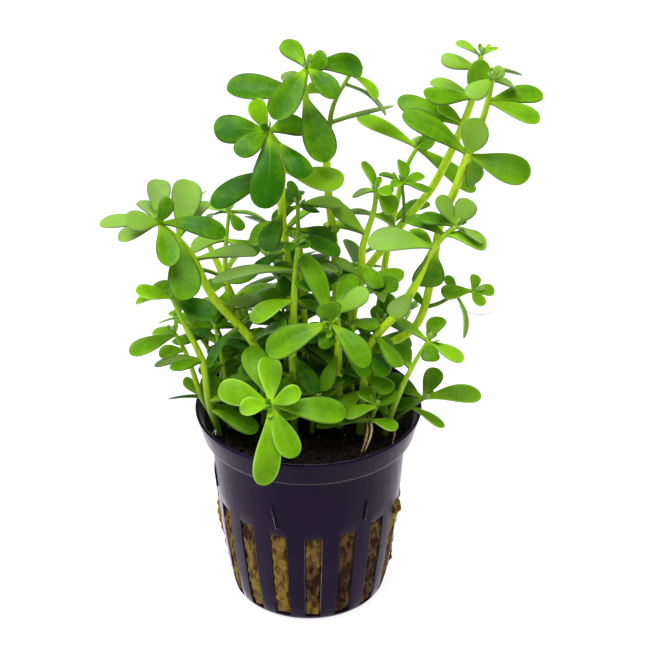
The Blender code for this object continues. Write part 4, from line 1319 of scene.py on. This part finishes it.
def lumps(points: Array, scale: float, seed: int, waves: int = 14) -> Array:
    """Soft uneven heights: the mean of sines over random directions and phases.

    Args:
        points: where to read the height, in millimetres.
        scale: the length of the longest wave.
        seed: the start of the random directions.
        waves: how many sines are added.

    Returns:
        One number from about -1 to 1 for each point.
    """
    random = np.random.default_rng(seed)
    ways = unit(random.normal(size=(waves, 3)))
    pace = 2 * math.pi / scale * random.uniform(1, 4, waves)
    phase = random.uniform(0, 2 * math.pi, waves)
    return np.sin(points @ (ways * pace[:, None]).T + phase).mean(axis=-1) * 2.4


def strands(starts: Array, ends: Array, sag: Array, radius: Array,
            rows: int = 7, columns: int = 5,
            taper: tuple[float, float] = (0.55, 0.55)) -> Surface:
    """Many thin round strands, each a tube along a bent line.

    Args:
        starts: first end of each strand.
        ends: its other end.
        sag: how far its middle is pushed aside, as a vector.
        radius: its radius.
        rows: sections along each strand.
        columns: points round each section.
        taper: its radius at its first and last end, in shares of the whole.

    Returns:
        All the strands as one surface with the value shade, one number per strand.
    """
    share = np.linspace(0, 1, rows)[None, :, None]
    path = (starts[:, None] * (1 - share) + ends[:, None] * share
            + np.sin(math.pi * share) * sag[:, None])
    least = (taper[0] + (taper[1] - taper[0]) * share)[0, :, 0]
    slim = least + (1 - least) * np.sin(math.pi * share[0, :, 0])
    parts = []
    for place, line in enumerate(path):
        tube = circles_along(line, radius[place] * slim, columns, (0.31, 0.83, 0.47))
        part = closed_tube(tube, line[0], line[-1])
        part.values = {"shade": np.full(len(part.points), (place * 0.618) % 1.0)}
        parts.append(part)
    return Surface.joined(parts)


@dataclass
class Wool:
    """The plug of mineral wool, with loose fibres on it.

    Attributes:
        wall: radius and height of its outside, just inside the pot's wall.
        unevenness: how far its lumps go in and out.
        slot_turn: how far right of the front the first slot lies, in degrees.
        slot_share: the slot's width over the distance between two slots.
        slot_ends: heights between which it swells at the front and the back.
        slot_rise: how much higher the upper end is at the sides.
        swell: how far it swells into a slot.
        tufts: turn, height, half width, half height and rise of each thicker place.
        ochre: turn, height, half width and half height of each yellow stain.
        wet_and_shadow: the same for each dark place: damp stains, and painted shadow along the
            left edges of two slots and under the top of one.
    """

    wall: Corners = (
        (16.9, 1.5), (17.6, 3.5), (18.3, 6), (18.9, 10), (20.0, 17), (20.6, 23),
        (20.9, 27), (21.5, 38), (21.9, 40.7))
    unevenness: float = 0.32
    slots: int = 16
    slot_turn: float = 3.2
    slot_share: float = 0.5
    slot_ends: tuple[float, float] = (1.3, 26.7)
    slot_rise: float = 1.7
    swell: float = 1.15
    tufts: Rows = (
        (-87, 22, 8, 6, 0.5), (71, 26, 8, 3, 0.9), (92, 22, 8, 5, 0.35), (92, 8, 8, 5, 0.5))
    fibres: int = 300
    ochre: Rows = (
        (-19, 13, 8, 17), (-42, 7, 9, 9), (3, 3, 8, 5), (48, 23, 7, 5), (-66, 7, 7, 10),
        (72, 22, 8, 6), (-88, 15, 9, 12), (120, 10, 20, 9), (-140, 16, 18, 10),
        (170, 8, 14, 8))
    # Dark places: damp stains, and painted shadow along the left edges of the slots at -19 and -64
    # degrees and under the top of the one at -42 degrees.
    wet_and_shadow: Rows = (
        (4, 11, 9, 8), (26, 12, 10, 22), (49, 14, 10, 18), (-70, 15, 4, 16), (-42, 24, 8, 3),
        (-26, 14, 2, 16), (93, 6, 15, 5), (-110, 7, 16, 6), (145, 18, 12, 7))
    seed: int = 5

    def swelling(self, points: Array) -> Array:
        """How far into a slot each point swells.

        Args:
            points: points on the wool.

        Returns:
            1 in the middle of a slot and 0 behind the ribs.
        """
        turn = np.degrees(np.arctan2(points[..., 0], -points[..., 1]))
        pitch = 360 / self.slots
        aside = np.abs((turn - self.slot_turn + pitch / 2) % pitch - pitch / 2)
        half = self.slot_share * pitch / 2
        low, high = self.slot_ends
        above = high + self.slot_rise * np.abs(np.sin(np.radians(turn))) - points[..., 2]
        across = ease((half - aside) / (0.2 * half))
        return across * ease((points[..., 2] - low) / 0.8) * ease(above / 0.8)

    def surface(self) -> Surface:
        """The plug: its profile turned about +Z, lumpy, and swollen into the slots."""
        heights = np.linspace(self.wall[0][1], self.wall[-1][1], 64)
        radii = np.interp(heights, [z for _, z in self.wall], [r for r, _ in self.wall])
        angles = np.linspace(0, 2 * math.pi, 20 * self.slots + 1)[:-1]
        rings = turned(np.stack([radii, heights], -1), angles)
        height = lumps(rings, 9.0, self.seed) + 0.5 * lumps(rings, 2.4, self.seed + 1)
        swell = self.swelling(rings) * self.swell * (1 + 0.35 * lumps(rings, 7.0, self.seed + 4))
        for *tuft, rise in self.tufts:
            swell = swell * (1 + rise * self.stained(rings, (tuft,)))
        out = self.unevenness * (0.5 * height - 0.2) + swell
        rings = rings + unit(rings * [1, 1, 0]) * out[..., None]
        made = closed_tube(rings, heights[0] * SKYWARD, heights[-1] * SKYWARD)
        made.values = {"ochre": self.stained(made.points, self.ochre),
                       "wet_and_shadow": self.stained(made.points, self.wet_and_shadow)}
        return made

    def stained(self, points: Array, stains: Rows) -> Array:
        """How strongly stains mark the points: a bell curve round each stain's middle.

        Args:
            points: where to look, in millimetres.
            stains: turn to the right of the front in degrees, height, half width in
                degrees and half height in millimetres of each stain.

        Returns:
            One number for each point, 1 in the middle of a stain.
        """
        turn = np.degrees(np.arctan2(points[..., 0], -points[..., 1]))
        mark = np.zeros_like(turn)
        for middle, height, wide, high in stains:
            aside = (turn - middle + 180) % 360 - 180
            mark = np.maximum(mark, np.exp(-(aside / wide) ** 2
                                           - ((points[..., 2] - height) / high) ** 2))
        return mark

    def loose(self) -> Surface:
        """Loose fibres in the slots, each bent a little and just above the wool."""
        random = np.random.default_rng(self.seed + 2)
        slot = random.integers(0, self.slots, self.fibres)
        pitch = 2 * math.pi / self.slots
        middle = math.radians(self.slot_turn) + slot * pitch
        half = 0.5 * self.slot_share * pitch
        turn = middle + half * random.uniform(-0.75, 0.75, self.fibres)
        other = middle + half * random.uniform(-0.75, 0.75, self.fibres)
        low, high = self.slot_ends
        height = random.uniform(low + 1.5, high - 2, self.fibres)
        rise = np.clip(height + random.normal(0, 2.2, self.fibres), low + 1.2, high - 1.6)

        def on_wool(angle: Array, level: Array) -> Array:
            """Points just above the swollen wool at these turns and heights."""
            radius = np.interp(level, [z for _, z in self.wall], [r for r, _ in self.wall])
            place = np.stack([radius * np.sin(angle), -radius * np.cos(angle), level], -1)
            out = self.swell * self.swelling(place) + 0.12
            return place + unit(place * [1, 1, 0]) * out[..., None]

        sag = unit(on_wool(turn, height) * [1, 1, 0])
        sag = sag * random.uniform(0.0, 0.35, self.fibres)[:, None]
        return strands(on_wool(turn, height), on_wool(other, rise), sag,
                       random.uniform(0.025, 0.06, self.fibres))

    def build(self, wool: Material, fibre: Material) -> None:
        """Makes the plug and its loose fibres."""
        self.surface().piece("wool_plug", wool, Slot.WOOL, ("wool",))
        self.loose().piece("wool_fibres", fibre, Slot.WOOL)


@dataclass
class Soil:
    """The layer of wet soil on the wool, with crumbs and grit on it.

    Attributes:
        profile: radius and height of its underside and edge.
        edge: height of its top at the edge.
        top: height of its middle.
        reach: how far from the pot's axis its top and its crumbs go.
    """

    profile: Corners = (
        (21.9, 41.0), (22.4, 47.0), (24.4, 47.2), (24.9, 47.9))
    edge: float = 47.9
    top: float = 48.6
    reach: float = 24.6
    crumbs: int = 900
    grit: int = 46
    seed: int = 21

    def height(self, x: Array, y: Array) -> Array:
        """The height of the soil at x and y: a low mound with soft lumps."""
        radius = np.hypot(x, y)
        places = np.stack([x, y, np.zeros_like(x)], -1)
        bumps = 0.55 * lumps(places, 8.0, self.seed) + 0.3 * lumps(places, 2.5, self.seed + 1)
        mound = (self.top - self.edge) * ease((25.0 - radius) / 12)
        return self.edge + mound + bumps * 0.6 * ease((25.2 - radius) / 2.5)

    def surface(self) -> Surface:
        """The layer: its edge turned about +Z and its top read from the mound."""
        angles = np.linspace(0, 2 * math.pi, 145)[:-1]
        radii = np.linspace(self.reach, 0.6, 44)
        top = turned(np.stack([radii, np.zeros_like(radii)], -1), angles)
        top[..., 2] = self.height(top[..., 0], top[..., 1])
        rings = np.concatenate([turned(np.array(self.profile), angles), top])
        middle = float(self.height(np.zeros(1), np.zeros(1))[0])
        made = closed_tube(rings, self.profile[0][1] * SKYWARD, middle * SKYWARD)
        made.values = {"shade": np.zeros(len(made.points))}
        return made

    def grains(self, count: int, least: float, most: float, seed: int) -> Surface:
        """Uneven little stones on the soil, each a dented icosahedron.

        Args:
            count: how many.
            least: smallest radius in millimetres.
            most: largest radius.
            seed: the start of their places and shapes.

        Returns:
            All of them as one surface with the value shade.
        """
        random = np.random.default_rng(seed)
        ball = bmesh.new()
        bmesh.ops.create_icosphere(ball, subdivisions=1, radius=1.0)
        shape = np.array([vertex.co for vertex in ball.verts])
        faces = np.array([[vertex.index for vertex in face.verts] for face in ball.faces])
        ball.free()
        angle = random.uniform(0, 2 * math.pi, count)
        radius = self.reach * np.sqrt(random.uniform(0, 1, count))
        size = random.uniform(least, most, count) * random.uniform(0.6, 1.0, count)
        x, y = radius * np.cos(angle), radius * np.sin(angle)
        centres = np.stack([x, y, self.height(x, y) + 0.25 * size], -1)
        dents = random.uniform(0.65, 1.25, (count, len(shape), 1))
        squash = random.uniform(0.6, 1.1, (count, 1, 3))
        points = centres[:, None] + shape[None] * dents * squash * size[:, None, None]
        numbers = np.arange(count)[:, None, None] * len(shape) + faces[None]
        shade = np.repeat(random.uniform(0, 1, count), len(shape))
        return Surface(points.reshape(-1, 3), np.zeros((0, 4), int),
                       numbers.reshape(-1, 3), {"shade": shade})

    def build(self, soil: Material, grit: Material) -> None:
        """Makes the layer, its crumbs and its pale grains."""
        self.surface().piece("soil_layer", soil, Slot.SOIL, ("soil",))
        self.grains(self.crumbs, 0.25, 0.95, self.seed + 3).piece(
            "soil_crumbs", soil, Slot.SOIL)
        self.grains(self.grit, 0.12, 0.3, self.seed + 4).piece("soil_grit", grit, Slot.SOIL)


@dataclass
class Litter:
    """Dried strands and white roots, each with its ends, its sag and its radius."""

    dry: tuple[Strand, ...] = (
        ((13.6, -10.5, 54.4), (12.6, -17.9, 48.5), (0.9, -1.4, 1.2), 0.30),
        ((14.2, -10.7, 54.6), (13.4, -17.4, 48.5), (1.3, -0.9, 1.5), 0.27),
        ((20.2, -10.0, 53.4), (20.0, -14.5, 48.6), (0.6, 0.2, 0.3), 0.2),
    )
    white: tuple[Strand, ...] = (
        ((32.0, -3.3, 83.4), (45.6, -3.0, 79.6), (0.5, 0.0, -3.4), 0.11),
        ((-23.0, -9.2, 48.5), (-22.2, -10.6, 48.9), (0.4, 0.3, 0.9), 0.16),
    )

    def surface(self, table: tuple) -> Surface:
        """All the strands of a table as one surface."""
        starts, ends, sags = (np.array([row[part] for row in table]) for part in range(3))
        return strands(starts, ends, sags, np.array([row[3] for row in table]), 16, 8)

    def build(self, dried: Material, fresh: Material) -> None:
        """Makes the dried strands and the white roots."""
        self.surface(self.dry).piece("dried_strands", dried, Slot.STEMS)
        self.surface(self.white).piece("fine_roots", fresh, Slot.STEMS)


class Graph:
    """The nodes of one material, with a short call for each kind that is used."""

    def __init__(self, name: str) -> None:
        """Starts a material whose patterns are measured in millimetres.

        Args:
            name: the material's name.
        """
        self.material = bpy.data.materials.new(name)
        self.material.use_nodes = True
        self.tree = self.material.node_tree
        self.shader = self.tree.nodes["Principled BSDF"]
        spot = self.tree.nodes.new("ShaderNodeTexCoord")
        self.place = self.node("ShaderNodeMapping", {
            "Vector": spot.outputs["Object"], "Scale": (1 / MM, 1 / MM, 1 / MM)}).outputs[0]

    def node(self, kind: str, inputs: dict, **settings: object) -> bpy.types.Node:
        """Adds a node.

        Args:
            kind: the node's type.
            inputs: a value or another node's output for each input by name or number.
            settings: the node's own settings.

        Returns:
            The node.
        """
        made = self.tree.nodes.new(kind)
        for name, value in settings.items():
            setattr(made, name, value)
        for name, value in inputs.items():
            if isinstance(value, Socket):
                self.tree.links.new(value, made.inputs[name])
            else:
                made.inputs[name].default_value = value
        return made

    def attribute(self, name: str) -> Socket:
        """The number of this name at each point."""
        return self.node("ShaderNodeAttribute", {}, attribute_name=name).outputs["Fac"]

    def noise(self, scale: float, detail: float = 3.0, stretch: Place | None = None) -> Socket:
        """Soft noise from about 0.3 to 0.7.

        Args:
            scale: waves per millimetre.
            detail: finer layers on it.
            stretch: scale of each axis, where they differ.

        Returns:
            The noise's output.
        """
        place = self.place
        if stretch is not None:
            place = self.node("ShaderNodeMapping",
                              {"Vector": place, "Scale": stretch}).outputs[0]
        return self.node("ShaderNodeTexNoise", {"Vector": place, "Scale": scale,
                                                "Detail": detail}).outputs["Fac"]

    def between(self, value: Socket, low: float, high: float,
                first: float = 0.0, last: float = 1.0) -> Socket:
        """The value carried from the range low to high onto first to last, with ease.

        Args:
            value: what is carried.
            low: where the result is first.
            high: where the result is last.
            first: the result at and beyond low.
            last: the result at and beyond high.

        Returns:
            The carried value.
        """
        return self.node("ShaderNodeMapRange", {
            "Value": value, "From Min": low, "From Max": high, "To Min": first,
            "To Max": last}, interpolation_type="SMOOTHSTEP").outputs["Result"]

    def math(self, operation: str, one: object, other: object = 0.0) -> Socket:
        """One sum of two numbers."""
        return self.node("ShaderNodeMath", {0: one, 1: other},
                         operation=operation).outputs[0]

    def mix(self, share: object, one: object, other: object) -> Socket:
        """A colour between one and other.

        Args:
            share: 0 for one and 1 for other.
            one: a colour or an output.
            other: a colour or an output.

        Returns:
            The mixed colour.
        """
        full = [(*c, 1.0) if isinstance(c, tuple) else c for c in (one, other)]
        return self.node("ShaderNodeMix", {"Factor": share, 6: full[0], 7: full[1]},
                         data_type="RGBA").outputs[2]

    def finish(self, colour: Socket, roughness: Socket,
               height: Socket, depth: float,
               **sockets: float | Colour) -> Material:
        """Joins the patterns to the shader.

        Args:
            colour: base colour.
            roughness: roughness.
            height: the bump's height, from 0 to 1.
            depth: the bump's depth in millimetres.
            sockets: values for the shader's own sockets, with _ for each blank.

        Returns:
            The finished material.
        """
        bump = self.node("ShaderNodeBump", {"Height": height, "Distance": depth * MM})
        links = self.tree.links
        links.new(colour, self.shader.inputs["Base Color"])
        links.new(roughness, self.shader.inputs["Roughness"])
        links.new(bump.outputs["Normal"], self.shader.inputs["Normal"])
        for name, value in sockets.items():
            self.shader.inputs[name.replace("_", " ")].default_value = value
        return self.material


@dataclass(frozen=True)
class LeafFinish:
    """Satin succulent leaf: green by tone, pale at its foot and along its midrib, with a painted
    silvery sheen and painted edge highlights.
    """

    dark: Colour = (0.018, 0.100, 0.0006)
    light: Colour = (0.195, 0.415, 0.005)
    foot: Colour = (0.32, 0.56, 0.012)
    rib: Colour = (0.24, 0.46, 0.04)
    edge: Colour = (0.035, 0.075, 0.018)
    edge_highlight: Colour = (0.30, 0.50, 0.09)
    grey_edge: Colour = (0.10, 0.15, 0.065)
    underside: Colour = (0.30, 0.42, 0.20)
    painted_sheen: Colour = (0.150, 0.245, 0.058)

    def build(self) -> Material:
        """The material: tone, mottling, foot, midrib, edge with a painted highlight, paler
        underside and a painted silvery sheen.
        """
        g = Graph("leaf")
        along, tone = g.attribute("along"), g.attribute("tone")
        across = g.math("ABSOLUTE", g.attribute("across"))
        patches, grain = g.noise(0.25, 2.0), g.noise(2.6, 4.0)
        mottled = g.math("ADD", tone, g.between(patches, 0.32, 0.68, -0.1, 0.1))
        mottled = g.math("ADD", mottled, g.between(grain, 0.35, 0.65, -0.06, 0.06))
        mottled = g.math("ADD", mottled, g.between(across, 0.35, 0.95, -0.05, 0.09))
        colour = g.mix(mottled, self.dark, self.light)
        colour = g.mix(g.between(along, 0.0, 0.38, 0.75, 0.0), colour, self.foot)
        middle = g.between(across, 0.0, 0.12, 1.0, 0.0)
        fading = g.between(along, 0.1, 0.8, 0.28, 0.0)
        colour = g.mix(g.math("MULTIPLY", middle, fading), colour, self.rib)
        under = g.math("MULTIPLY", g.attribute("under"), 0.55)
        colour = g.mix(under, colour, self.underside)
        # Painted silvery sheen: leaves of tone over 1 turn pale grey-green, less near their foot
        # and in patches.
        pale_sheen = g.math("MULTIPLY", g.between(along, 0.1, 0.6, 0.4, 1.0),
                       g.between(patches, 0.32, 0.68, 0.7, 1.0))
        pale_sheen = g.math("MULTIPLY", pale_sheen, g.between(tone, 0.95, 1.1))
        colour = g.mix(pale_sheen, colour, self.painted_sheen)
        # Edges: dark on dark leaves, a painted highlight on lighter leaves and grey on the palest.
        edge = g.mix(g.between(tone, 0.42, 0.6), self.edge, self.edge_highlight)
        edge = g.mix(g.between(tone, 0.9, 1.05), edge, self.grey_edge)
        colour = g.mix(g.between(across, 0.8, 0.98, 0.0, 0.8), colour, edge)
        roughness = g.between(grain, 0.3, 0.7, 0.32, 0.44)
        height = g.math("ADD", g.math("MULTIPLY", grain, 0.5), patches)
        return g.finish(colour, roughness, height, 0.08, Specular_IOR_Level=0.07,
                        Subsurface_Weight=0.2,
                        Subsurface_Radius=(0.5, 1.0, 0.1), Subsurface_Scale=0.9 * MM)


@dataclass(frozen=True)
class StemFinish:
    """Juicy yellow-green stem with fine lengthwise streaks, a painted highlight down one side and
    painted shade toward its foot.
    """

    light: Colour = (0.48, 0.70, 0.008)
    dark: Colour = (0.32, 0.55, 0.005)
    young: Colour = (0.22, 0.45, 0.008)
    node: Colour = (0.40, 0.60, 0.03)
    foot: Colour = (0.045, 0.13, 0.010)

    def build(self) -> Material:
        """The material: streaks, painted highlight and shade round the stem, nodes, the green
        young end and painted shade toward the foot.
        """
        g = Graph("stem")
        streaks, grain = g.noise(1.6, 3.0, (1.0, 1.0, 0.16)), g.noise(4.0, 3.0)
        # Painted highlight and shade: one side of each stem is lighter than the other.
        around = g.between(g.attribute("around"), 0.1, 0.9, -0.15, 0.15)
        share = g.math("ADD", g.between(streaks, 0.34, 0.66), around)
        colour = g.mix(share, self.dark, self.light)
        colour = g.mix(g.between(g.attribute("young"), 0.1, 1.0, 0.0, 0.8), colour, self.young)
        colour = g.mix(g.between(g.attribute("node"), 0.2, 1.0, 0.0, 0.5), colour, self.node)
        # Painted shade: the first 28 mm from a stem's foot turn dark green.
        colour = g.mix(g.between(g.attribute("along"), 1.0, 28.0, 0.85, 0.0), colour, self.foot)
        roughness = g.between(grain, 0.3, 0.7, 0.3, 0.44)
        height = g.math("ADD", streaks, g.math("MULTIPLY", grain, 0.4))
        return g.finish(colour, roughness, height, 0.05, Specular_IOR_Level=0.2,
                        Subsurface_Weight=0.2,
                        Subsurface_Radius=(0.8, 1.0, 0.2), Subsurface_Scale=0.8 * MM)


@dataclass(frozen=True)
class PlasticFinish:
    """Glossy dark purple moulded plastic, paler on the wall below its collar, with painted
    highlights on the slot edges, painted shade on the collar's lower edge, fine scuffs and dust.
    """

    body: Colour = (0.0035, 0.0006, 0.0150)
    paler_wall: Colour = (0.0120, 0.0045, 0.0230)
    edge: Colour = (0.055, 0.042, 0.075)
    mark: Colour = (0.002, 0.001, 0.009)
    dust: Colour = (0.30, 0.27, 0.33)
    pale_sheen: Colour = (0.95, 0.84, 0.98)

    def build(self) -> Material:
        """The material: cloudy purple, paler below the collar, dust, dark mould marks, painted
        shade and highlights on edges, fine scratches and a pale sheen.
        """
        g = Graph("pot_plastic")
        clouds, grain = g.noise(0.09, 4.0), g.noise(3.5, 5.0)
        scratches = g.noise(0.8, 5.0, (1.0, 1.0, 0.12))
        level = g.node("ShaderNodeSeparateXYZ", {0: g.place}).outputs["Z"]
        # A paler cloudy purple on the wall below the collar; the collar keeps the darker body
        # colour.
        paler_wall = g.math("MULTIPLY", g.between(clouds, 0.36, 0.66, 0.5, 1.0),
                      g.between(level, 44.0, 45.0, 1.0, 0.15))
        colour = g.mix(paler_wall, self.body, self.paler_wall)
        specks = g.node("ShaderNodeTexVoronoi", {"Vector": g.place, "Scale": 0.55}
                        ).outputs["Distance"]
        dusty = g.math("MULTIPLY", g.between(specks, 0.03, 0.09, 1.0, 0.0),
                       g.between(g.noise(0.3, 2.0), 0.55, 0.65))
        colour = g.mix(g.math("MULTIPLY", dusty, 0.5), colour, self.dust)
        edge = g.attribute("edge")
        # Dark mould marks, and painted shade on the collar's lower edge.
        colour = g.mix(g.between(edge, -0.9, -0.1, 1.0, 0.0), colour, self.mark)
        # Painted highlight along the slots' sides and ends, broken up by the scratches.
        uneven = g.between(scratches, 0.4, 0.6, 0.25, 0.75)
        colour = g.mix(g.math("MULTIPLY", g.between(edge, 0.3, 1.0), uneven), colour, self.edge)
        roughness = g.between(scratches, 0.35, 0.68, 0.26, 0.42)
        height = g.math("ADD", g.math("MULTIPLY", scratches, 0.4), grain)
        return g.finish(colour, roughness, height, 0.012, Specular_IOR_Level=0.06,
                        Sheen_Weight=1.0, Sheen_Roughness=0.25,
                        Sheen_Tint=(*self.pale_sheen, 1.0))


@dataclass(frozen=True)
class WoolFinish:
    """Matted brown mineral wool, with ochre stains and dark places: damp stains and painted shadow
    in the slots.
    """

    pale: Colour = (0.22, 0.14, 0.035)
    brown: Colour = (0.070, 0.032, 0.012)
    ochre: Colour = (0.28, 0.18, 0.025)
    wet_and_shadow: Colour = (0.022, 0.0055, 0.004)

    def build(self) -> Material:
        """The material: fibre streaks, then ochre stains and dark places, damp stains and painted
        shadow, by their own values.
        """
        g = Graph("wool")
        fibres = g.noise(0.75, 7.0, (1.0, 1.0, 0.4))
        patches, grain = g.noise(0.16, 3.0), g.noise(5.0, 4.0)
        colour = g.mix(g.between(fibres, 0.38, 0.64), self.brown, self.pale)
        ochre = g.math("ADD", g.attribute("ochre"), g.between(patches, 0.4, 0.7, -0.25, 0.2))
        ochre = g.math("ADD", ochre, g.between(fibres, 0.34, 0.5, -0.6, 0.0))
        ochre = g.math("MAXIMUM", g.math("MINIMUM", ochre, 0.9), 0.0)
        colour = g.mix(ochre, colour, self.ochre)
        # Dark places: damp stains, and painted shadow in the slots.
        wet_and_shadow = g.math("ADD", g.attribute("wet_and_shadow"), g.between(fibres, 0.35, 0.65, 0.25, -0.25))
        colour = g.mix(g.math("MAXIMUM", g.math("MINIMUM", wet_and_shadow, 0.92), 0.0), colour, self.wet_and_shadow)
        roughness = g.between(grain, 0.3, 0.7, 0.55, 0.95)
        height = g.math("ADD", fibres, g.math("MULTIPLY", grain, 0.3))
        return g.finish(colour, roughness, height, 0.7, Specular_IOR_Level=0.06)


@dataclass(frozen=True)
class FibreFinish:
    """Loose wool fibres and dried roots, each of its own shade."""

    name: str = "fibre"
    dark: Colour = (0.07, 0.035, 0.012)
    light: Colour = (0.34, 0.24, 0.09)
    roughness: float = 0.6

    def build(self) -> Material:
        """The material: the strand's own shade, with fine blotches."""
        g = Graph(self.name)
        grain = g.noise(2.2, 4.0)
        share = g.math("ADD", g.attribute("shade"), g.between(grain, 0.3, 0.7, -0.3, 0.3))
        colour = g.mix(share, self.dark, self.light)
        roughness = g.between(grain, 0.3, 0.7, self.roughness - 0.1, self.roughness + 0.15)
        return g.finish(colour, roughness, grain, 0.05, Specular_IOR_Level=0.1)


@dataclass(frozen=True)
class SoilFinish:
    """Wet black-brown potting soil."""

    name: str = "soil"
    dark: Colour = (0.0025, 0.002, 0.002)
    light: Colour = (0.014, 0.010, 0.008)
    wetness: float = 0.35

    def build(self) -> Material:
        """The material: crumbly patches with wet, shinier places."""
        g = Graph(self.name)
        crumbs, grain = g.noise(0.8, 6.0), g.noise(4.5, 4.0)
        share = g.math("ADD", g.between(crumbs, 0.4, 0.68),
                       g.math("MULTIPLY", g.attribute("shade"), 0.35))
        colour = g.mix(share, self.dark, self.light)
        roughness = g.between(grain, 0.32, 0.68, self.wetness, 0.9)
        height = g.math("ADD", crumbs, g.math("MULTIPLY", grain, 0.4))
        return g.finish(colour, roughness, height, 0.5, Specular_IOR_Level=0.12)


@dataclass(frozen=True)
class FloorFinish:
    """White opal glass of a light table."""

    pale: Colour = (0.25, 0.25, 0.25)
    paler: Colour = (0.27, 0.27, 0.27)
    glow: float = 0.86

    def build(self) -> Material:
        """The material: a hardly seen change of white."""
        g = Graph("studio_floor")
        cloud = g.noise(0.004, 2.0)
        colour = g.mix(cloud, self.pale, self.paler)
        return g.finish(colour, g.between(cloud, 0.3, 0.7, 0.85, 0.95), cloud, 0.01,
                        Emission_Color=(1.0, 1.0, 1.0, 1.0), Emission_Strength=self.glow)


@dataclass(frozen=True)
class Lamp:
    """A square soft light of a power in watts, hung at its place and turned to its aim."""

    name: str
    place: Place
    aim: Place
    side: float
    power: float

    def build(self) -> None:
        """Hangs the light and turns it to its aim."""
        data = bpy.data.lights.new(self.name, "AREA")
        data.shape = "SQUARE"
        data.size = self.side * MM
        data.energy = self.power
        lamp = in_scene(self.name, data)
        lamp.location = Vector(self.place) * MM
        way = Vector(self.aim) - Vector(self.place)
        lamp.rotation_euler = way.to_track_quat("-Z", "Y").to_euler()


@dataclass
class Studio:
    """The floor, the soft lights and the camera of the photograph.

    Attributes:
        sky: brightness of the white surroundings as a light.
        camera_tilt: the camera's tilt up from straight down, in radians.
        camera_lens: its focal length on a 36 mm wide sensor.
    """

    floor_side: float = 6000.0
    sky: float = 0.46
    lamps: tuple[Lamp, ...] = (
        Lamp("key", (-130, -80, 870), (0, 0, 80), 600, 12.0),
        Lamp("left_panel", (-620, 60, 260), (0, 0, 60), 420, 1.6),
        Lamp("right_panel", (620, 160, 220), (0, 0, 60), 420, 1.0),
    )
    camera_place: Place = (5.8, -689.3, 477.2)
    camera_tilt: float = math.radians(59.5)
    camera_lens: float = 181.7

    def build_floor(self) -> None:
        """Lays the floor just under the pot."""
        half = self.floor_side / 2 * MM
        mesh = bpy.data.meshes.new("floor")
        mesh.from_pydata([(-half, -half, 0), (half, -half, 0), (half, half, 0),
                          (-half, half, 0)], [], [(0, 1, 2, 3)])
        mesh.materials.append(FloorFinish().build())
        in_scene("floor", mesh)

    def build_camera(self) -> None:
        """Sets up the camera at the photograph's angle."""
        data = bpy.data.cameras.new("camera")
        data.sensor_width = 36.0
        data.lens = self.camera_lens
        data.clip_end = 20.0
        camera = in_scene("camera", data)
        camera.location = Vector(self.camera_place) * MM
        camera.rotation_euler = (self.camera_tilt, 0.0, 0.0)
        bpy.context.scene.camera = camera

    def build_sky(self) -> None:
        """Makes the surroundings white to look at and dimmer as a light."""
        world = bpy.data.worlds.new("studio")
        world.use_nodes = True
        tree = world.node_tree
        path = tree.nodes.new("ShaderNodeLightPath")
        strength = tree.nodes.new("ShaderNodeMapRange")
        strength.inputs["To Min"].default_value = self.sky
        strength.inputs["To Max"].default_value = 1.0
        tree.links.new(path.outputs["Is Camera Ray"], strength.inputs["Value"])
        sky = tree.nodes["Background"].inputs
        sky["Color"].default_value = (1.0, 1.0, 1.0, 1.0)
        tree.links.new(strength.outputs["Result"], sky["Strength"])
        bpy.context.scene.world = world

    def build(self) -> None:
        """Builds the floor, the lights and the camera."""
        self.build_sky()
        bpy.context.scene.view_settings.view_transform = "Standard"
        for lamp in self.lamps:
            lamp.build()
        self.build_floor()
        self.build_camera()


def main() -> None:
    """Builds the studio and every piece of the potted plant."""
    logging.basicConfig(level=logging.INFO, format="%(name)s: %(message)s")
    Studio().build()
    NetPot().build(PlasticFinish().build())
    Wool().build(WoolFinish().build(), FibreFinish().build())
    Soil().build(SoilFinish().build(), SoilFinish("grit", (0.4, 0.38, 0.34),
                                                  (0.8, 0.78, 0.72)).build())
    Litter().build(FibreFinish("dry_root", (0.30, 0.17, 0.07), (0.72, 0.55, 0.33)).build(),
                   FibreFinish("white_root", (0.60, 0.62, 0.50), (0.85, 0.87, 0.75)).build())
    Plant().build(LeafFinish().build(), StemFinish().build())


if __name__ == "__main__":
    main()
